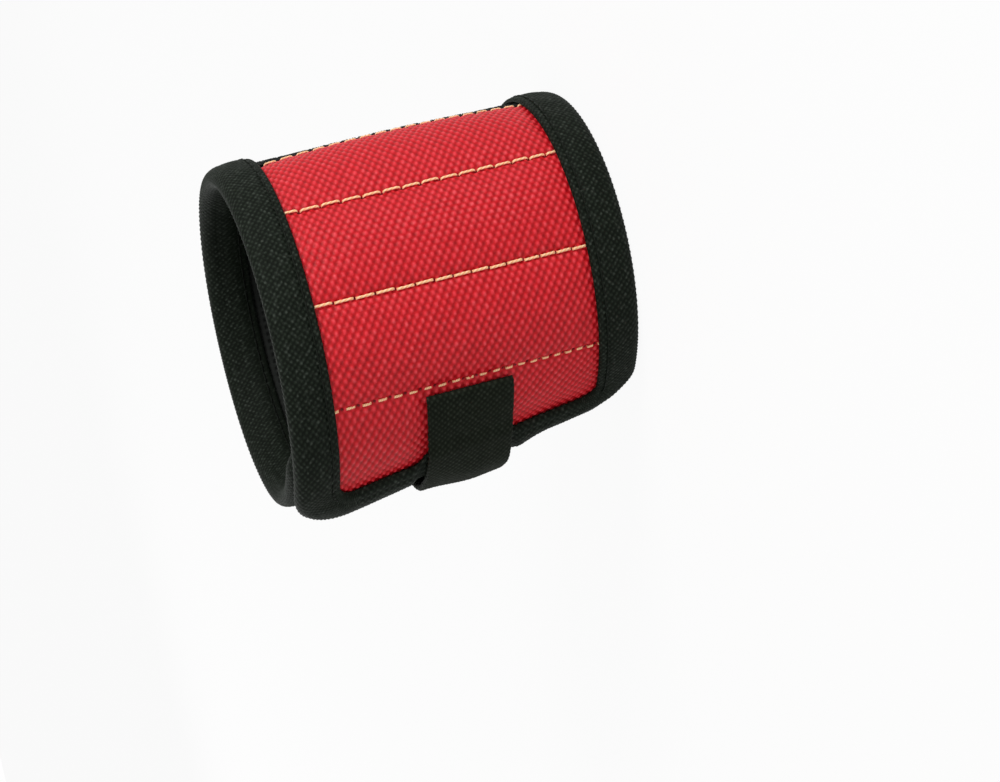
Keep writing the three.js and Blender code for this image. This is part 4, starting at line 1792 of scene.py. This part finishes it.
@dataclass(frozen=True)
class Strap:
    """The black webbing strap, with moulded hook tape under its free end."""

    form: BandForm
    weave: Weave = Weave(along=0.72, across=0.7, depth=0.24, dots=0.7)
    margin: float = 1.2
    thickness: float = 1.6
    tip_corner: float = 5.0
    tip_limit: float = 0.995
    tip_tab: float = 8.0
    end_round: float = 0.9
    end_lead: float = 0.05
    end_press: float = 0.5
    waver: float = 0.1
    waver_length: float = 9.0
    ease: float = 7.0
    step: float = 0.235
    under_step: float = 0.9
    flat_samples: int = 400
    turn_samples: int = 120
    hook_inset: float = 1.0
    hook_gap: float = 0.3
    hook_seat: float = 0.15
    hook_base: float = 0.45
    hook_rib: float = 0.04
    hook_step: float = 0.6
    hook_height: float = 0.72
    hook_pitch: float = 1.15
    hook_radius: float = 0.13
    hook_thin: float = 0.8
    hook_root: float = 0.03
    hook_margins: tuple[float, float] = (0.8, 0.7)
    hook_down: tuple[float, ...] = (0.0, 0.45, 0.72, 0.92, 1.0, 0.86)
    hook_curl: tuple[float, ...] = (0.0, 0.0, 0.05, 0.2, 0.42, 0.58)
    hook_taper: tuple[float, ...] = (1.25, 1.0, 0.95, 0.85, 0.7, 0.45)

    @property
    def start(self) -> float:
        """The length at the strap's sewn end."""
        return self.form.last_line + self.margin

    @property
    def hook_span(self) -> tuple[float, float]:
        """The lengths between which the hook tape lies."""
        return self.form.strap_hinge + self.form.strap_drop / 2.0, self.form.strap_end - self.tip_tab

    def section(self) -> dict[str, Array]:
        """The strap's section: two flat faces joined by half circles, finer on top than beneath.

        Returns:
            Places across from -1 to 1, offsets of the round edges, lifts, the outward direction
            and the distance round.
        """
        half, radius = self.form.strap_width / 2.0, self.thickness / 2.0
        flat = np.linspace(-half + radius, half - radius, self.flat_samples)
        turn = np.linspace(0.5 * np.pi, -0.5 * np.pi, self.turn_samples)[1:-1]
        out, up, level = radius * np.cos(turn), radius * np.sin(turn), np.zeros_like(flat)
        across = np.concatenate([flat, half - radius + out, flat[::-1], -half + radius - out])
        lift = np.concatenate([level + 2.0 * radius, radius + up, level, radius - up])
        run = distance_along(across, lift)
        top, edge = run[len(flat) - 1], np.pi * radius
        under = counted(top + edge, 2.0 * top + edge, self.under_step)[1:-1]
        at = np.concatenate([counted(0.0, top + edge, self.step), under,
                             counted(2.0 * top + edge, run[-1], self.step)])
        slope_across, slope_lift = np.gradient(across, run), np.gradient(lift, run)
        size = np.hypot(slope_across, slope_lift)
        return {
            "across": np.interp(at, run, across), "lift": np.interp(at, run, lift), "run": at,
            "out_across": np.interp(at, run, -slope_lift / size),
            "out_lift": np.interp(at, run, slope_across / size),
        }

    def webbing(self, lengths: Array) -> Skin:
        """A length of webbing: the section carried along the strap, thinned to a round at each end.

        Args:
            lengths: Lengths along the strap.

        Returns:
            The mesh.
        """
        part = self.section()
        s, across = np.meshgrid(lengths, part["across"], indexing="ij")
        yarn, over = self.weave.at(s, part["run"] + 0.0 * s)
        sunk = self.weave.depth * (yarn - 1.0)
        past = np.clip((s - (self.form.strap_end - self.tip_corner)) / self.tip_corner, 0.0, self.tip_limit)
        half = self.form.strap_width / 2.0
        narrow = (half - self.tip_corner * (1.0 - np.sqrt(1.0 - past**2))) / half
        ends = np.minimum(s - self.start, self.form.strap_end - s)
        thin = np.sqrt(1.0 - np.clip(1.0 - (ends + self.end_lead) / self.end_round, 0.0, 1.0) ** 2)
        middle_lift = self.thickness / 2.0
        z = self.form.strap_middle + narrow * across + part["out_across"] * sunk
        z = z + self.waver * ripple(s, 0.0 * s, self.waver_length)
        lift = middle_lift + thin * (part["lift"] + part["out_lift"] * sunk - middle_lift)
        lift = lift - (1.0 - thin) * self.end_press
        cloth = np.stack([s, part["run"] + 0.0 * s], axis=-1)[None]
        values = {YARN: yarn[None], OVER: over[None], HOLE: 0.0 * yarn[None]}
        return tubes(self.form.strap(s, z, lift)[None], cloth, **values)

    def hook_face(self) -> Skin:
        """The hook tape's base, a thin slab under the strap, with a cosine for its ribs.

        Returns:
            The base's mesh.
        """
        half = self.form.strap_width / 2.0 - self.hook_inset
        lengths, places = counted(*self.hook_span, self.hook_step), counted(-half, half, self.hook_step)
        s, across = np.meshgrid(lengths, places, indexing="ij")
        z = self.form.strap_middle + across
        ribs = self.hook_rib * np.cos(2.0 * np.pi * s / self.hook_pitch)
        lifts = (-self.hook_seat + 0.0 * s, -self.hook_gap - self.hook_base + ribs)
        return shell(self.form.strap, s, z, lifts)

    def hooks(self) -> Skin:
        """Rows of small moulded hooks that point down from the tape and curl over at the end.

        A four-sided tube follows a stem and then an arc; rows curl to opposite sides by turns, and
        every second row is set off by half a step.

        Returns:
            The hooks' mesh.
        """
        end_margin, side_margin = self.hook_margins
        half = self.form.strap_width / 2.0 - self.hook_inset - side_margin
        rows = counted(self.hook_span[0] + end_margin, self.hook_span[1] - end_margin, self.hook_pitch)
        places = counted(-half, half, self.hook_pitch)
        row, place = np.meshgrid(np.arange(len(rows)), np.arange(len(places)), indexing="ij")
        offset = (row.ravel() % 2 - 0.5) * self.hook_pitch / 2.0
        s = rows[row.ravel()][:, None, None]
        z = (self.form.strap_middle + places[place.ravel()] + offset)[:, None, None]
        side = np.where(place.ravel() % 2 == 0, 1.0, -1.0)[:, None, None]
        turn = (np.arange(4) * 0.5 * np.pi + 0.25 * np.pi)[None, None, :]
        stem = np.array(self.hook_down)[None, :, None] * self.hook_height
        reach = np.array(self.hook_curl)[None, :, None] * self.hook_height
        taper = np.array(self.hook_taper)[None, :, None] * self.hook_radius
        down = -self.hook_gap - self.hook_base + self.hook_root - stem
        s = s + side * (reach + taper * np.cos(turn))
        z, lift = z + taper * np.sin(turn) * self.hook_thin, down + 0.0 * side * turn
        s, z, lift = np.broadcast_arrays(s, z, lift)
        return tubes(self.form.strap(s, z, lift), np.stack([s, z], axis=-1))

    def build(self, finishes: Finishes) -> None:
        """Build the webbing in two lengths, and the hook tape with its hooks.

        Args:
            finishes: Every finish on the band.
        """
        cut = self.form.strap_hinge + self.form.strap_free / 4.0
        parts = [
            ("strap_sewn", self.start, cut, Fold.STRAP_ROOT, ["strap_base"]),
            ("strap_free", cut, self.form.strap_end, Fold.STRAP_TIP, ["strap_root", "strap_tip"]),
        ]
        for name, start, end, fold, nodes in parts:
            lengths = counted(start, end, self.step)
            piece = self.webbing(lengths).to_object(name, finishes.webbing)
            self.form.bend(piece, fold, self.ease)
            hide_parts(*nodes)
        face = self.hook_face().to_object("hook_tape", finishes.hooks)
        hooks = self.hooks().to_object("hook_tape_hooks", finishes.hooks)
        for piece in (face, hooks):
            self.form.bend(piece, Fold.STRAP_TIP, self.ease)
        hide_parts("strap_root_hook_tape", "strap_tip_hook_tape")
        length = self.hook_span[1] - self.hook_span[0]
        length * MM


@dataclass(frozen=True)
class Filling:
    """The wadding in each row and the magnets let into it."""

    weld: float = 0.01
    voxel: float = 0.55
    smoothing: float = 0.5
    smoothings: int = 4
    fluff: float = 0.12
    waves: tuple[tuple[float, float], ...] = ((2.7, 1.1), (1.9, 0.4))
    rows: tuple[str, ...] = ("upper_pocket", "middle_pocket", "lower_pocket", "end_row")

    def wadding(self, row: str, finishes: Finishes) -> bpy.types.Object:
        """A row's wadding: its CAD form welded, remeshed in small voxels, and fluffed.

        Each point then moves along each axis by the product of two sine waves, one along each of
        the other axes, so that the felt looks uneven.

        Args:
            row: The row's name.
            finishes: Every finish on the band.

        Returns:
            The new piece.
        """
        source = frame["nodes"][f"{row}_wadding"]
        piece = bpy.data.objects.new(f"{row}_felt", source.data.copy())
        bpy.context.scene.collection.objects.link(piece)
        weld = piece.modifiers.new("weld", "WELD")
        weld.merge_threshold = self.weld * MM
        remesh = piece.modifiers.new("remesh", "REMESH")
        remesh.mode, remesh.voxel_size = "VOXEL", self.voxel * MM
        smooth = piece.modifiers.new("smooth", "SMOOTH")
        smooth.factor, smooth.iterations = self.smoothing, self.smoothings
        bpy.context.view_layer.update()
        graph = bpy.context.evaluated_depsgraph_get()
        mesh = bpy.data.meshes.new_from_object(piece.evaluated_get(graph))
        piece.modifiers.clear()
        piece.data = mesh
        points = np.empty(len(mesh.vertices) * 3, dtype=np.float32)
        mesh.vertices.foreach_get("co", points)
        points = points.reshape(-1, 3).astype(float) / MM
        (first, first_start), (second, second_start) = self.waves
        waves = np.sin(points[:, [1, 2, 0]] * first + first_start)
        waves = waves * np.sin(points[:, [2, 0, 1]] * second + second_start)
        mesh.vertices.foreach_set("co", ((points + self.fluff * waves) * MM).astype(np.float32).ravel())
        mesh.polygons.foreach_set("use_smooth", np.ones(len(mesh.polygons), dtype=bool))
        mesh.materials.clear()
        mesh.materials.append(finishes.wadding)
        mesh.update()
        LOG.info("%s: %d points", piece.name, len(mesh.vertices))
        return piece

    def build(self, finishes: Finishes) -> None:
        """Build the wadding of every row, and plate the magnets.

        Args:
            finishes: Every finish on the band.
        """
        for row in self.rows:
            piece = self.wadding(row, finishes)
            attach(piece, row)
            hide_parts(f"{row}_wadding")
        for name, node in frame["nodes"].items():
            if "magnet" in name:
                node.material_slots[0].material = finishes.magnet
                LOG.info("%s: plated", name)


@dataclass(frozen=True)
class Lamp:
    """A soft square lamp: which way it lies from the band, its distance and side in metres, watts."""

    name: str
    way: tuple[float, float, float]
    distance: float
    side: float
    watts: float


@dataclass(frozen=True)
class Studio:
    """The floor, the lamps and the camera; angles are in degrees, and pixels are of the image."""

    image: tuple[int, int] = (1000, 782)
    target: tuple[float, float, float] = (1.5014, 1.6037, 40.0)
    target_pixel: tuple[float, float] = (415.893, 297.771)
    focal_pixels: float = 2489.27
    distance: float = 550.0
    elevation: float = 12.913
    roll: float = 12.592
    sensor: float = 36.0
    clip: tuple[float, float] = (0.01, 50.0)
    floor_half: float = 6.0
    floor_drop: float = 0.02
    floor_paint: Colour = (0.8, 0.8, 0.8)
    floor_white: float = 0.93
    sky: float = 0.35
    lamps: tuple[Lamp, ...] = (
        Lamp("key", way=(0.74, -0.52, 0.42), distance=0.9, side=0.4, watts=5.2),
        Lamp("front", way=(-0.35, -0.88, 0.3), distance=1.1, side=0.9, watts=2.9),
        Lamp("back", way=(-0.45, 0.8, 0.5), distance=1.0, side=0.8, watts=3.0),
    )

    def camera(self) -> None:
        """The camera, turned so that the target lands on its pixel with no lens shift.

        It stands back from the target at the elevation, with the long axis of the band across the
        frame and the roll about the line of sight; then it turns to bring the frame's middle round.
        """
        rise, roll = math.radians(self.elevation), math.radians(self.roll)
        ahead = np.array([0.0, math.cos(rise), -math.sin(rise)])
        level = np.array([0.0, 0.0, -1.0])
        level = level - ahead * level.dot(ahead)
        level /= np.linalg.norm(level)
        above = np.cross(level, ahead)
        right = math.cos(roll) * level - math.sin(roll) * above
        up = math.sin(roll) * level + math.cos(roll) * above
        eye = np.array(self.target) - self.distance * ahead
        off_x = (self.image[0] / 2.0 - self.target_pixel[0]) / self.focal_pixels
        off_y = (self.image[1] / 2.0 - self.target_pixel[1]) / self.focal_pixels
        ahead = ahead + off_x * right - off_y * up
        ahead /= np.linalg.norm(ahead)
        right = right - ahead * right.dot(ahead)
        right /= np.linalg.norm(right)
        up = np.cross(right, ahead)
        data = bpy.data.cameras.new("camera")
        data.sensor_width = self.sensor
        data.lens = self.sensor * self.focal_pixels / self.image[0]
        data.clip_start, data.clip_end = self.clip
        camera = bpy.data.objects.new("camera", data)
        bpy.context.scene.collection.objects.link(camera)
        turned = np.eye(4)
        turned[:3, :3] = np.stack([right, up, -ahead], axis=1)
        turned[:3, 3] = eye * MM
        camera.matrix_world = Matrix(turned.tolist())
        bpy.context.scene.camera = camera

    @staticmethod
    def seen(bench: Bench) -> Signal:
        """Whether a ray comes from the camera, straight or by gloss or through glass.

        Args:
            bench: The bench of the tree that asks.

        Returns:
            1 for such rays, and 0 for others.
        """
        rays = [bench.node("ShaderNodeLightPath", output=f"Is {kind} Ray")
                for kind in ("Camera", "Glossy", "Transmission")]
        return rays[0].math("MAXIMUM", rays[0].math("MAXIMUM", rays[0], rays[1]), rays[2])

    def floor(self) -> None:
        """A broad white floor that keeps a soft shadow of the band."""
        half = self.floor_half / MM
        square = np.array([[-1, -1], [1, -1], [1, 1], [-1, 1]]) * half
        points = np.concatenate([square, np.full((4, 1), -self.floor_drop)], axis=1)
        material, bench = new_material("white_floor")
        paint = bench.node("ShaderNodeBsdfDiffuse", sockets={"Color": self.floor_paint})
        white = bench.node("ShaderNodeEmission", sockets={"Color": WHITE, "Strength": 1.0})
        share = self.floor_white * self.seen(bench)
        shader = bench.node("ShaderNodeMixShader", sockets={0: share, 1: paint, 2: white})
        bench.node("ShaderNodeOutputMaterial", sockets={"Surface": shader})
        Skin(points, [np.array([[0, 1, 2, 3]])], square).to_object("floor", material)

    def sky_light(self) -> None:
        """Soft light from all round, white where the camera sees it."""
        world = bpy.data.worlds.new("sky")
        world.use_nodes = True
        bpy.context.scene.world = world
        bench = Bench(world.node_tree)
        strength = self.sky + (1.0 - self.sky) * self.seen(bench)
        sky = bench.node("ShaderNodeBackground", sockets={"Color": WHITE, "Strength": strength})
        bench.node("ShaderNodeOutputWorld", sockets={"Surface": sky})

    def build(self) -> None:
        """Build the floor, the light and the camera."""
        self.camera()
        self.floor()
        self.sky_light()
        for lamp in self.lamps:
            data = bpy.data.lights.new(lamp.name, "AREA")
            data.shape, data.size, data.energy = "SQUARE", lamp.side, lamp.watts
            light = bpy.data.objects.new(lamp.name, data)
            way = Vector(lamp.way).normalized()
            light.location = Vector(self.target) * MM + way * lamp.distance
            light.rotation_euler = way.to_track_quat("Z", "Y").to_euler()
            bpy.context.scene.collection.objects.link(light)
        bpy.context.scene.view_settings.view_transform = "Standard"


def main() -> None:
    """Build the studio and the band, piece by piece."""
    logging.basicConfig(level=logging.INFO, format="%(name)s: %(message)s")
    Studio().build()
    form, finishes = BandForm(), Finishes()
    stitch = Topstitch(form)
    Filling().build(finishes)
    Lining(form).build(finishes)
    RedCover(form, stitch).build(finishes)
    LoopPile(form).build(finishes)
    BindingTape(form).build(finishes)
    stitch.build(finishes)
    Strap(form).build(finishes)


if __name__ == "__main__":
    main()
